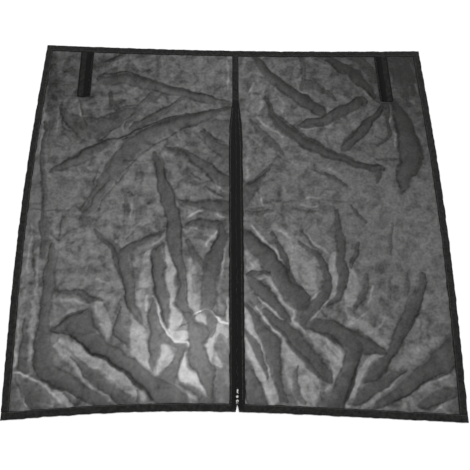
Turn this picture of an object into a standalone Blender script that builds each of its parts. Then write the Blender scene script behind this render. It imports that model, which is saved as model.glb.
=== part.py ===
"""Zip-front insect screen for a doorway, lying flat on a floor as it came out of its bag.

Two sheer net panels sit in a border of folded tape and meet at a zip. The seam tape closes the top of the
middle, the zip runs from it down to the hem, and two pairs of hook straps hang from the header.
Everything is worked out from the zip line (x = 0) and mid height (y = 0), then set so that the middle of the
screen's box stands over the origin. +X is to the right, +Y points to the header, +Z is up, the floor is z = 0.
"""

import math
from dataclasses import dataclass

import bmesh
import bpy
import numpy as np
from mathutils import Vector
from mathutils.geometry import delaunay_2d_cdt

MM = 0.001

# Outline of the screen. The drops are how much lower its right end lies than its left one, and the sag, rise
# and bows are the slack of the lie.
SCREEN_HEIGHT = 1.250
LEFT_WIDTH = 0.660
RIGHT_WIDTH = 0.642
HEADER_DROP = 0.0326
HEADER_SAG = 0.011
HEM_DROP = 0.0125
HEM_RISE = 0.026
HEM_SKEW = 0.004
LEFT_BOW = 0.0185
RIGHT_BOW = 0.0155

# Folded tape round the net
TAPE_WIDTH = 0.022
TAPE_WALL = 0.0006
TAPE_FOLD = 0.0012
NET_THICKNESS = 0.0004
NET_HEM = 0.016
FIT = 0.0003

# Middle of the screen, as half widths from the zip line
SEAM_HALF = 0.0105
SEAM_WEB = 0.0015
SEAM_NET_LAP = 0.007
SEAM_LENGTH = 0.209
BAND_HALF = 0.0225
BAND_SPREAD = 0.170
WEDGE_HALF = 0.005

# Zip tapes and moulded teeth
ZIP_TAPE_WIDTH = 0.0127
ZIP_TAPE_THICKNESS = 0.0006
ZIP_TAPE_LAP = 0.007
CHAIN_HALF = 0.0030
GROOVE_DEPTH = 0.0010
SPINE_HALF = 0.0016
TOOTH_REACH = 0.0009
TOOTH_PITCH = 0.0054
TOOTH_NECK = 0.0019
TOOTH_HEAD = 0.0025
TOOTH_THICKNESS = 0.0024
STOP_LENGTH = 0.005

# Slider and its pull
SLIDER_RISE = 0.0562
SLIDER_LENGTH = 0.015
SLIDER_WALL = 0.0008
SLIDER_RUN = 0.0008
SPLIT_START = 0.0025
SPLIT_LENGTH = 0.007
POST_HALF = 0.00065
POST_NOSE = 0.0023
BRIDGE_HALF = 0.0015
BRIDGE_REACH = 0.0055
BRIDGE_THICKNESS = 0.0009
PULL_LENGTH = 0.033
PULL_THICKNESS = 0.0012
PULL_NECK_HALF = 0.0036
PULL_TIP_HALF = 0.0046
PULL_WINDOW = 0.010
PULL_BAR_RADIUS = 0.00065
PULL_HOLE_RADIUS = 0.0017

# Hook straps
STRAP_WIDTH = 0.036
STRAP_LENGTH = 0.182
STRAP_THICKNESS = 0.0008
BACK_STRAP_THICKNESS = 0.0006
STRAP_CORNER = 0.003
STRAP_SHIFT = 0.009
LEFT_STRAP_X = -0.516
RIGHT_STRAP_X = 0.5055
RIGHT_STRAP_LEAN = 0.006

# How the net comes down from the tapes and straps to the floor
NET_MARGIN = 0.0015
NET_WELD = 0.0003
NET_DROP = 0.025
FOLD_FADE = 0.012
EDGE_STEP = 0.060
FOLD_STEP = 0.045

# The fold points below are read, in millimetres, on a plan of this size whose x axis the zip crosses at
# TRACED_ZIP and leans TRACED_LEAN to the left as it goes up. They stretch with the screen.
TRACED_HEIGHT = 1250.0
TRACED_LEFT = 660.0
TRACED_RIGHT = 642.0
TRACED_ZIP = 4.0
TRACED_LEAN = 0.005

COLOURS = {
    "net": (0.030, 0.030, 0.031),
    "tape": (0.012, 0.012, 0.012),
    "zip_tape": (0.009, 0.009, 0.009),
    "teeth": (0.010, 0.010, 0.011),
    "strap": (0.010, 0.010, 0.010),
    "nickel": (0.60, 0.60, 0.58),
}

# Heights of the layers over the floor
TAPE_THICKNESS = 2 * TAPE_WALL + 2 * FIT + NET_THICKNESS
NET_LEVEL = TAPE_WALL + FIT
ZIP_TAPE_BOTTOM = TAPE_THICKNESS + FIT
ZIP_TAPE_TOP = ZIP_TAPE_BOTTOM + ZIP_TAPE_THICKNESS
ZIP_PLANE = (ZIP_TAPE_BOTTOM + ZIP_TAPE_TOP) / 2
TEETH_BOTTOM = ZIP_PLANE - TOOTH_THICKNESS / 2
TEETH_TOP = ZIP_PLANE + TOOTH_THICKNESS / 2
GROOVE_BOTTOM = ZIP_TAPE_BOTTOM - FIT
GROOVE_TOP = ZIP_TAPE_TOP + FIT
PULL_AXIS_Z = TEETH_TOP + FIT + SLIDER_WALL + FIT + 0.0001 + PULL_THICKNESS / 2

# Half widths that follow from the zip's own sizes
TOOTH_SPREAD = TOOTH_REACH + POST_HALF + FIT + 0.00005
ZIP_TAPE_EDGE = CHAIN_HALF - GROOVE_DEPTH + FIT
SHOULDER_HALF = CHAIN_HALF + TOOTH_SPREAD + FIT + SLIDER_WALL
BAND_GAP = SHOULDER_HALF + SLIDER_RUN
NET_ZIP_EDGE = BAND_GAP + TAPE_FOLD + FIT
SEAM_NET_EDGE = SEAM_HALF - SEAM_NET_LAP


@dataclass
class Fold:
    """A fold of the net: the points its ridge passes through, its width at the foot and its height, in mm."""

    ridge: list
    width: float
    height: float


LEFT_FOLDS = [
    Fold([(-445, 495), (-395, 502), (-330, 490), (-270, 470), (-180, 440), (-35, 400)], 40, 4.5),
    Fold([(-25, 372), (-120, 350), (-210, 325), (-300, 285), (-370, 245), (-405, 195), (-428, 130),
          (-445, 75), (-485, 0)], 50, 6),
    Fold([(-330, 290), (-400, 262), (-455, 230), (-520, 185), (-590, 160)], 40, 4),
    Fold([(-270, 435), (-305, 405), (-325, 370), (-345, 320)], 30, 3),
    Fold([(-618, 330), (-620, 220), (-612, 120), (-606, 30), (-598, -60), (-585, -130)], 24, 3),
    Fold([(-262, 200), (-240, 146), (-225, 95), (-208, 50), (-195, 0), (-188, -50), (-180, -100),
          (-172, -160), (-165, -215), (-163, -260), (-150, -300), (-120, -340)], 42, 6),
    Fold([(-430, -58), (-395, -85), (-360, -125), (-335, -170), (-320, -215), (-313, -255), (-300, -295),
          (-275, -335)], 34, 5),
    Fold([(-215, -55), (-250, -82), (-300, -98), (-345, -130)], 22, 3.5),
    Fold([(-232, -100), (-233, -160), (-230, -210), (-222, -255), (-208, -300), (-200, -350)], 34, 5),
    Fold([(-40, -45), (-48, -95), (-65, -150), (-73, -200), (-72, -250), (-75, -310)], 45, 6),
    Fold([(-145, -65), (-135, -110), (-120, -150), (-95, -190)], 25, 4),
    Fold([(-175, 35), (-110, 28), (-25, 25)], 35, 3.5),
    Fold([(-215, 235), (-140, 200), (-90, 175), (-25, 135)], 28, 4),
    Fold([(-560, -100), (-565, -180), (-562, -260), (-560, -340), (-565, -420), (-570, -470)], 38, 5),
    Fold([(-520, -255), (-465, -255), (-400, -282)], 22, 3),
    Fold([(-535, -362), (-450, -365), (-390, -405), (-320, -455), (-250, -505), (-170, -560)], 60, 7),
    Fold([(-470, -450), (-420, -478), (-370, -515), (-315, -568)], 38, 5),
    Fold([(-590, -460), (-520, -485), (-460, -515), (-385, -562)], 40, 5),
    Fold([(-630, -490), (-590, -530), (-530, -575)], 30, 4),
    Fold([(-340, -300), (-345, -360), (-320, -390), (-300, -420)], 25, 4),
    Fold([(-110, -350), (-105, -420), (-85, -480), (-65, -560)], 28, 3),
]

RIGHT_FOLDS = [
    Fold([(50, 585), (110, 530), (150, 490), (200, 445), (245, 405), (300, 360)], 42, 6),
    Fold([(215, 315), (290, 330), (345, 355), (385, 385), (430, 408)], 38, 5),
    Fold([(112, 415), (125, 360), (165, 315), (225, 265), (290, 225), (350, 195), (420, 168), (480, 155)], 38, 6),
    Fold([(300, 590), (345, 550), (385, 515), (430, 465), (480, 415)], 30, 4),
    Fold([(490, 388), (465, 350), (430, 315), (395, 275), (355, 235)], 30, 5),
    Fold([(532, 392), (550, 345), (568, 280), (572, 210), (558, 150), (537, 75)], 56, 7),
    Fold([(50, 330), (80, 290), (115, 250), (150, 225)], 25, 3),
    Fold([(35, -70), (70, -115), (105, -150), (135, -190), (160, -240), (195, -285)], 48, 7),
    Fold([(108, -70), (130, -100), (150, -140), (162, -180)], 16, 3),
    Fold([(175, -55), (215, -100), (250, -135), (272, -175), (280, -220), (268, -260), (225, -290)], 30, 5),
    Fold([(320, 0), (325, -60), (325, -120), (330, -180), (330, -240), (318, -290)], 32, 5),
    Fold([(40, -235), (85, -250), (120, -290), (160, -330)], 30, 4),
    Fold([(80, -305), (130, -340), (180, -390), (220, -440), (262, -505)], 38, 6),
    Fold([(35, -305), (70, -350), (105, -400), (112, -450), (122, -505), (140, -570)], 34, 5),
    Fold([(32, -470), (50, -510), (70, -565)], 36, 4),
    Fold([(225, -340), (280, -365), (340, -395), (430, -428)], 55, 7),
    Fold([(345, -410), (340, -450), (325, -500), (300, -550), (285, -580)], 42, 6),
    Fold([(568, -205), (545, -270), (512, -335), (485, -390), (448, -440), (405, -490), (355, -545)], 44, 6),
    Fold([(630, -430), (565, -470), (500, -510), (430, -560)], 48, 6),
]


def header_y(x):
    """Upper edge of the header: a tilted line that sags like half a sine wave between its ends."""
    width = LEFT_WIDTH + RIGHT_WIDTH
    sag = HEADER_SAG * np.sin(math.pi * (x + LEFT_WIDTH) / width)
    return SCREEN_HEIGHT / 2 - HEADER_DROP * x / width - sag


def hem_y(x):
    """Lower edge of the hem: a tilted line that rises in the middle, more to the left than to the right."""
    width = LEFT_WIDTH + RIGHT_WIDTH
    along = (x + LEFT_WIDTH) / width
    rise = HEM_RISE * np.sin(math.pi * along) + HEM_SKEW * np.sin(2 * math.pi * along)
    return -SCREEN_HEIGHT / 2 - HEM_DROP * x / width + rise


def seam_bottom():
    """Where the seam tape ends and the zip begins, measured down from the header's upper edge."""
    return float(header_y(0)) - SEAM_LENGTH


def slider_y():
    """Middle of the slider as it lies, measured up from the hem's lower edge."""
    return float(hem_y(0)) + SLIDER_RISE


def side_x(side, y):
    """Outer edge of a side, -1 for left and 1 for right: a straight line bowed outwards by half a sine wave."""
    width, bow = (LEFT_WIDTH, LEFT_BOW) if side < 0 else (RIGHT_WIDTH, RIGHT_BOW)
    low, high = hem_y(side * width), header_y(side * width)
    along = np.clip((y - low) / (high - low), 0, 1)
    return side * (width + bow * np.sin(math.pi * along))


def band_half(y):
    """Half width of the middle band: the seam tape's at the top, easing out to the full band below it."""
    down = np.clip((seam_bottom() - y) / BAND_SPREAD, 0, 1)
    return SEAM_HALF + (BAND_HALF - SEAM_HALF) * down * (2 - down)


def zip_spread(y):
    """How far each half of the zip has moved off the zip line: nothing over the slider, all of it below."""
    down = np.clip((slider_y() + SPLIT_START - y) / SPLIT_LENGTH, 0, 1)
    return TOOTH_SPREAD * down


def plan_middle():
    """Middle of the screen's outline box, which stands over the origin."""
    xs = np.linspace(-LEFT_WIDTH, RIGHT_WIDTH, 201)
    ys = np.linspace(-SCREEN_HEIGHT / 2, SCREEN_HEIGHT / 2, 201)
    left, right = side_x(-1, ys).min(), side_x(1, ys).max()
    return (left + right) / 2, (header_y(xs).max() + hem_y(xs).min()) / 2


def clear_scene():
    for obj in list(bpy.data.objects):
        bpy.data.objects.remove(obj, do_unlink=True)


def material(name, roughness, metallic=0.0):
    """A Principled material in the part's own colour."""
    made = bpy.data.materials.get(name) or bpy.data.materials.new(name)
    made.use_nodes = True
    shader = made.node_tree.nodes["Principled BSDF"]
    shader.inputs["Base Color"].default_value = (*COLOURS[name], 1)
    shader.inputs["Roughness"].default_value = roughness
    shader.inputs["Metallic"].default_value = metallic
    return made


def add_object(name, shape, root, finish, location=(0, 0, 0)):
    """Puts a bmesh into the scene as one object under the root, with its faces turned outwards."""
    bmesh.ops.recalc_face_normals(shape, faces=shape.faces)
    mesh = bpy.data.meshes.new(name)
    shape.to_mesh(mesh)
    shape.free()
    obj = bpy.data.objects.new(name, mesh)
    obj.location = location
    obj.parent = root
    obj.data.materials.append(finish)
    bpy.context.scene.collection.objects.link(obj)
    return obj


def loft(rings):
    """A closed body through rings of points that all have the same number of corners."""
    shape = bmesh.new()
    rows = [[shape.verts.new(point) for point in ring] for ring in rings]
    count = len(rows[0])
    for one, two in zip(rows, rows[1:]):
        for corner in range(count):
            after = (corner + 1) % count
            shape.faces.new((one[corner], one[after], two[after], two[corner]))
    shape.faces.new(rows[0][::-1])
    shape.faces.new(rows[-1])
    return shape


def prism(outline, low, high):
    """A plan outline carried straight up from one height to another."""
    return loft([[(x, y, low) for x, y in outline], [(x, y, high) for x, y in outline]])


def folded_section(width):
    """Tape folded over the net's edge, as (distance from the fold, height) corners of a U on its side."""
    slot_low, slot_high = TAPE_WALL, TAPE_THICKNESS - TAPE_WALL
    return [
        (0, 0), (width, 0), (width, slot_low), (TAPE_FOLD, slot_low),
        (TAPE_FOLD, slot_high), (width, slot_high), (width, TAPE_THICKNESS), (0, TAPE_THICKNESS),
    ]


def folded_tape(place, stations, width=lambda s: TAPE_WIDTH):
    """The folded section swept along a run: place gives the plan point at a share s and a distance q in."""
    rings = []
    for s in np.linspace(0, 1, stations):
        rings.append([(*place(s, q), z) for q, z in folded_section(width(s))])
    return loft(rings)


def build_border(root):
    """Header, two sides and two hem tapes, each with its fold outwards and its slot to the net."""
    finish = material("tape", 0.85)

    def header(s, q):
        x = -LEFT_WIDTH + s * (LEFT_WIDTH + RIGHT_WIDTH)
        return x, header_y(x) - q

    add_object("header_binding", folded_tape(header, 21), root, finish)
    for side, word, width in ((-1, "left", LEFT_WIDTH), (1, "right", RIGHT_WIDTH)):

        def upright(s, q):
            x = side * (width - q)
            low = hem_y(x) + TAPE_WIDTH + FIT
            y = low + s * (header_y(x) - TAPE_WIDTH - FIT - low)
            return side_x(side, y) - side * q, y

        def hem(s, q):
            end = side * (FIT / 2 + WEDGE_HALF * (1 - q / TAPE_WIDTH))
            x = side * width + s * (end - side * width)
            return x, hem_y(x) + q

        add_object(f"{word}_side_binding", folded_tape(upright, 19), root, finish)
        add_object(f"{word}_hem_binding", folded_tape(hem, 13), root, finish)


def build_middle(root):
    """Seam tape with a slot to each panel, and the two tapes that bind the panels along the zip."""
    finish = material("tape", 0.85)
    low, high = TAPE_WALL, TAPE_THICKNESS - TAPE_WALL
    half = [(SEAM_HALF, 0), (SEAM_HALF, low), (SEAM_WEB, low), (SEAM_WEB, high), (SEAM_HALF, high),
            (SEAM_HALF, TAPE_THICKNESS)]
    section = half + [(-x, z) for x, z in reversed(half)]
    ends = (seam_bottom(), None)
    rings = [
        [(x, header_y(x) - TAPE_WIDTH - FIT if y is None else y, z) for x, z in section] for y in ends
    ]
    add_object("seam_tape", loft(rings), root, finish)
    for side, word in ((-1, "left"), (1, "right")):

        def run(s, q):
            x = side * (BAND_GAP + q)
            bottom = hem_y(x) + TAPE_WIDTH + FIT
            top = seam_bottom() - FIT
            # Closer stations where the band widens
            return x, top + (bottom - top) * s * s

        def width(s):
            y = run(s, 0)[1]
            return band_half(y) - BAND_GAP

        add_object(f"{word}_zip_binding", folded_tape(run, 15, width), root, finish)


def build_zip_tapes(root):
    """Two flat woven tapes on the bindings, cut no wider than the band at their tops and lapping the hem below."""
    finish = material("zip_tape", 0.9)
    top, bottom = seam_bottom() + ZIP_TAPE_LAP, float(hem_y(0)) + TAPE_WIDTH - 2 * ZIP_TAPE_LAP
    split = slider_y() + SPLIT_START
    stations = [top, *np.linspace(seam_bottom(), seam_bottom() - BAND_SPREAD / 2, 7), split,
                split - SPLIT_LENGTH, bottom]
    for side, word in ((-1, "left"), (1, "right")):
        rings = []
        for y in stations:
            near = ZIP_TAPE_EDGE + float(zip_spread(y))
            far = min(near + ZIP_TAPE_WIDTH, float(band_half(y)))
            rings.append([(side * x, y, z) for x, z in (
                (near, ZIP_TAPE_BOTTOM), (far, ZIP_TAPE_BOTTOM), (far, ZIP_TAPE_TOP), (near, ZIP_TAPE_TOP))])
        add_object(f"zip_tape_{word}", loft(rings), root, finish)


def teeth_range():
    """Lowest and highest point of the rows of teeth, between the hem and the seam tape."""
    low = float(hem_y(0)) + TAPE_WIDTH + STOP_LENGTH + 3 * FIT
    return low, seam_bottom() - STOP_LENGTH - 3 * FIT


def tooth_row(side):
    """A comb of moulded teeth whose spine is grooved for the tape's edge. The two rows mesh half a pitch apart."""
    low, high = teeth_range()
    split = slider_y() + SPLIT_START
    bends = [low, split - SPLIT_LENGTH, split, high]
    count = int((high - low) / TOOTH_PITCH) - 1
    start = high - TOOTH_HEAD - (TOOTH_PITCH / 2 if side > 0 else 0)

    def at(x, y):
        return side * (x + float(zip_spread(y))), y

    comb = [at(SPINE_HALF, high)]
    for number in range(count):
        middle = start - number * TOOTH_PITCH
        neck, head = TOOTH_NECK / 2, TOOTH_HEAD / 2
        comb += [at(SPINE_HALF, middle + neck), at(-TOOTH_REACH, middle + head),
                 at(-TOOTH_REACH, middle - head), at(SPINE_HALF, middle - neck)]
    comb.append(at(SPINE_HALF, low))
    groove = [(CHAIN_HALF, TEETH_TOP), (CHAIN_HALF, GROOVE_TOP), (CHAIN_HALF - GROOVE_DEPTH, GROOVE_TOP),
              (CHAIN_HALF - GROOVE_DEPTH, GROOVE_BOTTOM), (CHAIN_HALF, GROOVE_BOTTOM), (CHAIN_HALF, TEETH_BOTTOM)]
    shape = bmesh.new()
    back = [[shape.verts.new((*at(x, y), z)) for x, z in groove] for y in bends]
    upper = [shape.verts.new((*point, TEETH_TOP)) for point in comb]
    lower = [shape.verts.new((*point, TEETH_BOTTOM)) for point in comb]
    for one, two in zip(back, back[1:]):
        for corner in range(len(groove) - 1):
            shape.faces.new((one[corner], one[corner + 1], two[corner + 1], two[corner]))
    for here in range(len(comb) - 1):
        shape.faces.new((upper[here], upper[here + 1], lower[here + 1], lower[here]))
    shape.faces.new([ring[0] for ring in back] + upper)
    shape.faces.new([ring[-1] for ring in back] + lower)
    shape.faces.new(back[0] + [lower[-1], upper[-1]])
    shape.faces.new(back[-1] + [lower[0], upper[0]])
    return shape


def build_teeth(root):
    """Both rows of teeth, the stop that joins them at the top and the clips that end them at the bottom."""
    finish = material("teeth", 0.45)
    low, high = teeth_range()
    for side, word in ((-1, "left"), (1, "right")):
        add_object(f"zip_teeth_{word}", tooth_row(side), root, finish)
        near = ZIP_TAPE_EDGE + TOOTH_SPREAD
        clip = [
            (near - FIT - SLIDER_WALL, TEETH_BOTTOM), (near + CHAIN_HALF / 2, TEETH_BOTTOM),
            (near + CHAIN_HALF / 2, GROOVE_BOTTOM), (near - FIT, GROOVE_BOTTOM), (near - FIT, GROOVE_TOP),
            (near + CHAIN_HALF / 2, GROOVE_TOP), (near + CHAIN_HALF / 2, TEETH_TOP),
            (near - FIT - SLIDER_WALL, TEETH_TOP),
        ]
        ends = (low - FIT, low - FIT - STOP_LENGTH)
        rings = [[(side * x, y, z) for x, z in clip] for y in ends]
        add_object(f"zip_bottom_stop_{word}", loft(rings), root, finish)
    keel, cap = ZIP_TAPE_EDGE - FIT, CHAIN_HALF + STOP_LENGTH / 5
    half = [(keel, TEETH_BOTTOM), (keel, ZIP_TAPE_TOP + FIT), (cap, ZIP_TAPE_TOP + FIT), (cap, TEETH_TOP)]
    section = half + [(-x, z) for x, z in reversed(half)]
    rings = [[(x, y, z) for x, z in section] for y in (high + FIT, high + FIT + STOP_LENGTH * 0.8)]
    add_object("zip_top_stop", loft(rings), root, finish)


def cutter(name, shape, target, root, location):
    """A hidden body that a Boolean takes out of its target."""
    tool = add_object(name, shape, root, target.data.materials[0], location)
    tool.hide_render = True
    tool.display_type = "WIRE"
    cut = target.modifiers.new(name, "BOOLEAN")
    cut.operation = "DIFFERENCE"
    cut.solver = "EXACT"
    cut.object = tool
    return tool


def build_slider(root):
    """Die-cast slider: two wings joined by a post, a channel that parts the teeth, lips over the tape, a bridge."""
    finish = material("nickel", 0.3, 1.0)
    place = (0, slider_y(), 0)
    rear, front = SLIDER_LENGTH / 2, -SLIDER_LENGTH / 2
    split = SPLIT_START - SPLIT_LENGTH
    slim = CHAIN_HALF + FIT + SLIDER_WALL
    low, high = TEETH_BOTTOM - FIT, TEETH_TOP + FIT
    corner = SLIDER_WALL
    flank = [(slim - corner, rear), (slim, rear - corner), (slim, SPLIT_START), (SHOULDER_HALF, split),
             (SHOULDER_HALF, front + 2 * corner), (SHOULDER_HALF - 2 * corner, front)]
    outline = flank + [(-x, y) for x, y in reversed(flank)]
    slider = add_object("zip_slider", prism(outline, low - SLIDER_WALL, high + SLIDER_WALL), root, finish, place)

    lane = [(slim - SLIDER_WALL, rear + corner), (slim - SLIDER_WALL, SPLIT_START),
            (SHOULDER_HALF - SLIDER_WALL, split), (SHOULDER_HALF - SLIDER_WALL, front - corner),
            (POST_HALF, front - corner), (POST_HALF, split)]
    channel = lane + [(0, -POST_NOSE)] + [(-x, y) for x, y in reversed(lane)]
    cutter("channel_cutter", prism(channel, low, high), slider, root, place)
    for side, word in ((-1, "left"), (1, "right")):
        reach = 2 * SHOULDER_HALF
        slot = [(side * CHAIN_HALF, rear + corner), (side * reach, rear + corner),
                (side * reach, front - corner), (side * (CHAIN_HALF + TOOTH_SPREAD), front - corner),
                (side * (CHAIN_HALF + TOOTH_SPREAD), split), (side * CHAIN_HALF, SPLIT_START)]
        cutter(f"{word}_slot_cutter", prism(slot, GROOVE_BOTTOM, GROOVE_TOP), slider, root, place)

    # The bridge is an arch along the slider, sunk a little into the upper wing before they are joined
    under = PULL_AXIS_Z + PULL_BAR_RADIUS + FIT
    top, foot = under + BRIDGE_THICKNESS, high + SLIDER_WALL / 2
    outer = BRIDGE_REACH + BRIDGE_THICKNESS
    arch = [(outer, foot), (outer, top - corner), (outer - corner, top), (corner - outer, top),
            (-outer, top - corner), (-outer, foot), (-BRIDGE_REACH, foot), (-BRIDGE_REACH, under),
            (BRIDGE_REACH, under), (BRIDGE_REACH, foot)]
    bridge = loft([[(x, y, z) for y, z in arch] for x in (-BRIDGE_HALF, BRIDGE_HALF)])
    tool = add_object("bridge_body", bridge, root, finish, place)
    tool.hide_render = True
    tool.display_type = "WIRE"
    join = slider.modifiers.new("bridge", "BOOLEAN")
    join.operation = "UNION"
    join.solver = "EXACT"
    join.object = tool


def build_pull(root):
    """Pull tab hung on the bridge by its bar, lying towards the hem, with a window and a hole near its tip."""
    finish = material("nickel", 0.3, 1.0)
    place = (0, slider_y(), PULL_AXIS_Z)
    half = PULL_THICKNESS / 2
    tip, waist = -PULL_LENGTH, -PULL_WINDOW - 2 * PULL_TIP_HALF
    bevel = PULL_TIP_HALF / 2
    flank = [(PULL_NECK_HALF, 0), (PULL_NECK_HALF, -PULL_WINDOW), (PULL_TIP_HALF, waist),
             (PULL_TIP_HALF, tip + bevel), (PULL_TIP_HALF - bevel, tip)]
    outline = flank + [(-x, y) for x, y in reversed(flank)]
    pull = add_object("zip_pull", prism(outline, -half, half), root, finish, place)
    gap = BRIDGE_HALF + SLIDER_WALL
    window = [(-gap, SLIDER_WALL), (gap, SLIDER_WALL), (gap, -PULL_WINDOW), (-gap, -PULL_WINDOW)]
    cutter("window_cutter", prism(window, -2 * half, 2 * half), pull, root, place)
    turns = [2 * math.pi * step / 12 for step in range(12)]
    centre = tip + PULL_TIP_HALF
    hole = [(PULL_HOLE_RADIUS * math.cos(a), centre + PULL_HOLE_RADIUS * math.sin(a)) for a in turns]
    cutter("hole_cutter", prism(hole, -2 * half, 2 * half), pull, root, place)
    ring = [(PULL_BAR_RADIUS * math.cos(a), PULL_BAR_RADIUS * math.sin(a)) for a in turns]
    reach = PULL_NECK_HALF - FIT
    bar = loft([[(x, y, z) for y, z in ring] for x in (-reach, reach)])
    tool = add_object("pull_bar_body", bar, root, finish, place)
    tool.hide_render = True
    tool.display_type = "WIRE"
    join = pull.modifiers.new("bar", "BOOLEAN")
    join.operation = "UNION"
    join.solver = "EXACT"
    join.object = tool


def strap_outline(centre, lean):
    """A strap with cut corners at its free end, sewn to the header's inner edge and leaning by lean at its tip."""
    half = STRAP_WIDTH / 2
    bottom = float(header_y(centre)) - TAPE_WIDTH - STRAP_LENGTH
    tops = [(centre + x, float(header_y(centre + x)) - TAPE_WIDTH - FIT) for x in (-half, half)]
    tail = centre + lean
    return tops + [
        (tail + half, bottom + STRAP_CORNER), (tail + half - STRAP_CORNER, bottom),
        (tail - half + STRAP_CORNER, bottom), (tail - half, bottom + STRAP_CORNER),
    ]


def strap_places():
    """Each strap as (words, centre, lean, heights). The back ones lie under the net, nearer the middle."""
    for side, word, centre, lean in ((-1, "left", LEFT_STRAP_X, 0), (1, "right", RIGHT_STRAP_X, RIGHT_STRAP_LEAN)):
        shift = side * STRAP_SHIFT / 2
        front = NET_LEVEL + NET_THICKNESS + FIT
        yield f"strap_{word}_front", centre + shift, lean, (front, front + STRAP_THICKNESS)
        yield f"strap_{word}_back", centre - shift, lean, (0, BACK_STRAP_THICKNESS)


def build_straps(root):
    finish = material("strap", 0.8)
    for name, centre, lean, (low, high) in strap_places():
        add_object(name, prism(strap_outline(centre, lean), low, high), root, finish)


def strap_pad(side):
    """The plan box (low x, low y, high x, high y) over which a pair of straps keeps the net flat."""
    points = []
    for name, centre, lean, _ in strap_places():
        if (centre > 0) == (side > 0):
            points += strap_outline(centre, lean)
    low, high = np.min(points, axis=0), np.max(points, axis=0)
    return low[0] - NET_MARGIN, low[1] - NET_MARGIN, high[0] + NET_MARGIN, high[1] + NET_MARGIN


def fold_points(fold):
    """The fold's ridge in metres from the zip line and mid height, at even steps, with each step's share."""
    traced = np.array(fold.ridge, float)
    x = traced[:, 0] - TRACED_ZIP + TRACED_LEAN * traced[:, 1]
    y = traced[:, 1] - TRACED_LEAN * traced[:, 0]
    wide = np.where(x < 0, LEFT_WIDTH / TRACED_LEFT, RIGHT_WIDTH / TRACED_RIGHT)
    points = np.stack([x * wide, y * SCREEN_HEIGHT / TRACED_HEIGHT], axis=1)
    lengths = np.linalg.norm(np.diff(points, axis=0), axis=1)
    shares = np.concatenate([[0], np.cumsum(lengths)]) / lengths.sum()
    steps = np.linspace(0, 1, max(4, round(lengths.sum() / FOLD_STEP) + 1))
    return np.stack([np.interp(steps, shares, points[:, axis]) for axis in (0, 1)], axis=1), steps


def fold_taper(share):
    """A fold swells from a third of its size at its ends to all of it in the middle."""
    return 0.33 + 0.67 * np.sin(math.pi * np.clip(share, 0, 1)) ** 0.7


def fold_lift(fold, ridge, steps, x, y):
    """Height of one fold at a point: a straight slope from the foot up to the ridge."""
    start, end = ridge[:-1], ridge[1:]
    along = end - start
    reach = (along**2).sum(axis=1)
    share = np.clip(((x - start[:, 0]) * along[:, 0] + (y - start[:, 1]) * along[:, 1]) / reach, 0, 1)
    gap = np.hypot(x - start[:, 0] - share * along[:, 0], y - start[:, 1] - share * along[:, 1])
    nearest = int(np.argmin(gap))
    taper = fold_taper(steps[nearest] + share[nearest] * (steps[nearest + 1] - steps[nearest]))
    return fold.height * MM * taper * max(0.0, 1 - gap[nearest] / (fold.width * MM / 2 * taper))


def fold_lines(fold, ridge, steps):
    """The ridge and the two feet of a fold, as plan polylines."""
    along = np.gradient(ridge, axis=0)
    across = np.stack([-along[:, 1], along[:, 0]], axis=1) / np.linalg.norm(along, axis=1)[:, None]
    half = (fold.width * MM / 2 * fold_taper(steps))[:, None]
    return [ridge, ridge + across * half, ridge - across * half]


def visible_room(side, x, y):
    """Distance from a point of a panel to the nearest tape's visible edge, less the margin kept flat there."""
    gaps = (
        side * (side_x(side, y) - x) - TAPE_WIDTH,
        header_y(x) - TAPE_WIDTH - y,
        y - hem_y(x) - TAPE_WIDTH,
        side * x - band_half(y),
    )
    return min(float(gap) for gap in gaps) - NET_MARGIN


def box_gap(box, x, y):
    """Distance from a point to a plan box, 0 inside it."""
    return math.hypot(max(box[0] - x, 0, x - box[2]), max(box[1] - y, 0, y - box[3]))


def net_height(side, folds, pad, x, y):
    """Underside of the net: level in the tapes and between the straps, down on the floor away from them."""
    room = visible_room(side, x, y)
    beside = box_gap(pad, x, y)
    if room <= FIT or beside <= FIT:
        return NET_LEVEL
    held = max(0.0, 1 - min(room, beside) / NET_DROP)
    lift = max(fold_lift(fold, ridge, steps, x, y) for fold, ridge, steps in folds)
    return NET_LEVEL * held + lift * min(1.0, room / FOLD_FADE) * min(1.0, beside / FOLD_FADE)


def panel_loops(side):
    """The cut edge of a panel, inside the slots, and the line where it comes out of them, as plan loops."""
    inset = TAPE_WIDTH - NET_HEM
    loops = []
    for rim, seam, band in ((inset, SEAM_NET_EDGE, None), (TAPE_WIDTH + NET_MARGIN, SEAM_HALF + NET_MARGIN, 0)):
        width = LEFT_WIDTH if side < 0 else RIGHT_WIDTH
        across = np.linspace(0, 1, round(width / EDGE_STEP) + 1)
        low, high = hem_y(side * width) + rim, header_y(side * width) - rim
        outer = [(side_x(side, y) - side * rim, y) for y in np.linspace(low, high, round(SCREEN_HEIGHT / EDGE_STEP))]
        first = outer[-1][0]
        top = [(x, header_y(x) - rim) for x in first + (side * seam - first) * across[1:]]
        drop = seam_bottom() + ZIP_TAPE_LAP
        middle = [(side * seam, drop)]
        foot = hem_y(side * NET_ZIP_EDGE) + rim
        if band is None:
            middle += [(side * NET_ZIP_EDGE, seam_bottom() + 2 * NET_MARGIN), (side * NET_ZIP_EDGE, foot)]
        else:
            ys = [*np.linspace(seam_bottom(), seam_bottom() - BAND_SPREAD, 5), 0.0, foot]
            middle += [(side * (float(band_half(y)) + NET_MARGIN), y) for y in ys]
        last, start = middle[-1][0], outer[0][0]
        bottom = [(x, hem_y(x) + rim) for x in last + (start - last) * across[1:-1]]
        loops.append([(float(x), float(y)) for x, y in outer + top + middle + bottom])
    return loops


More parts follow.
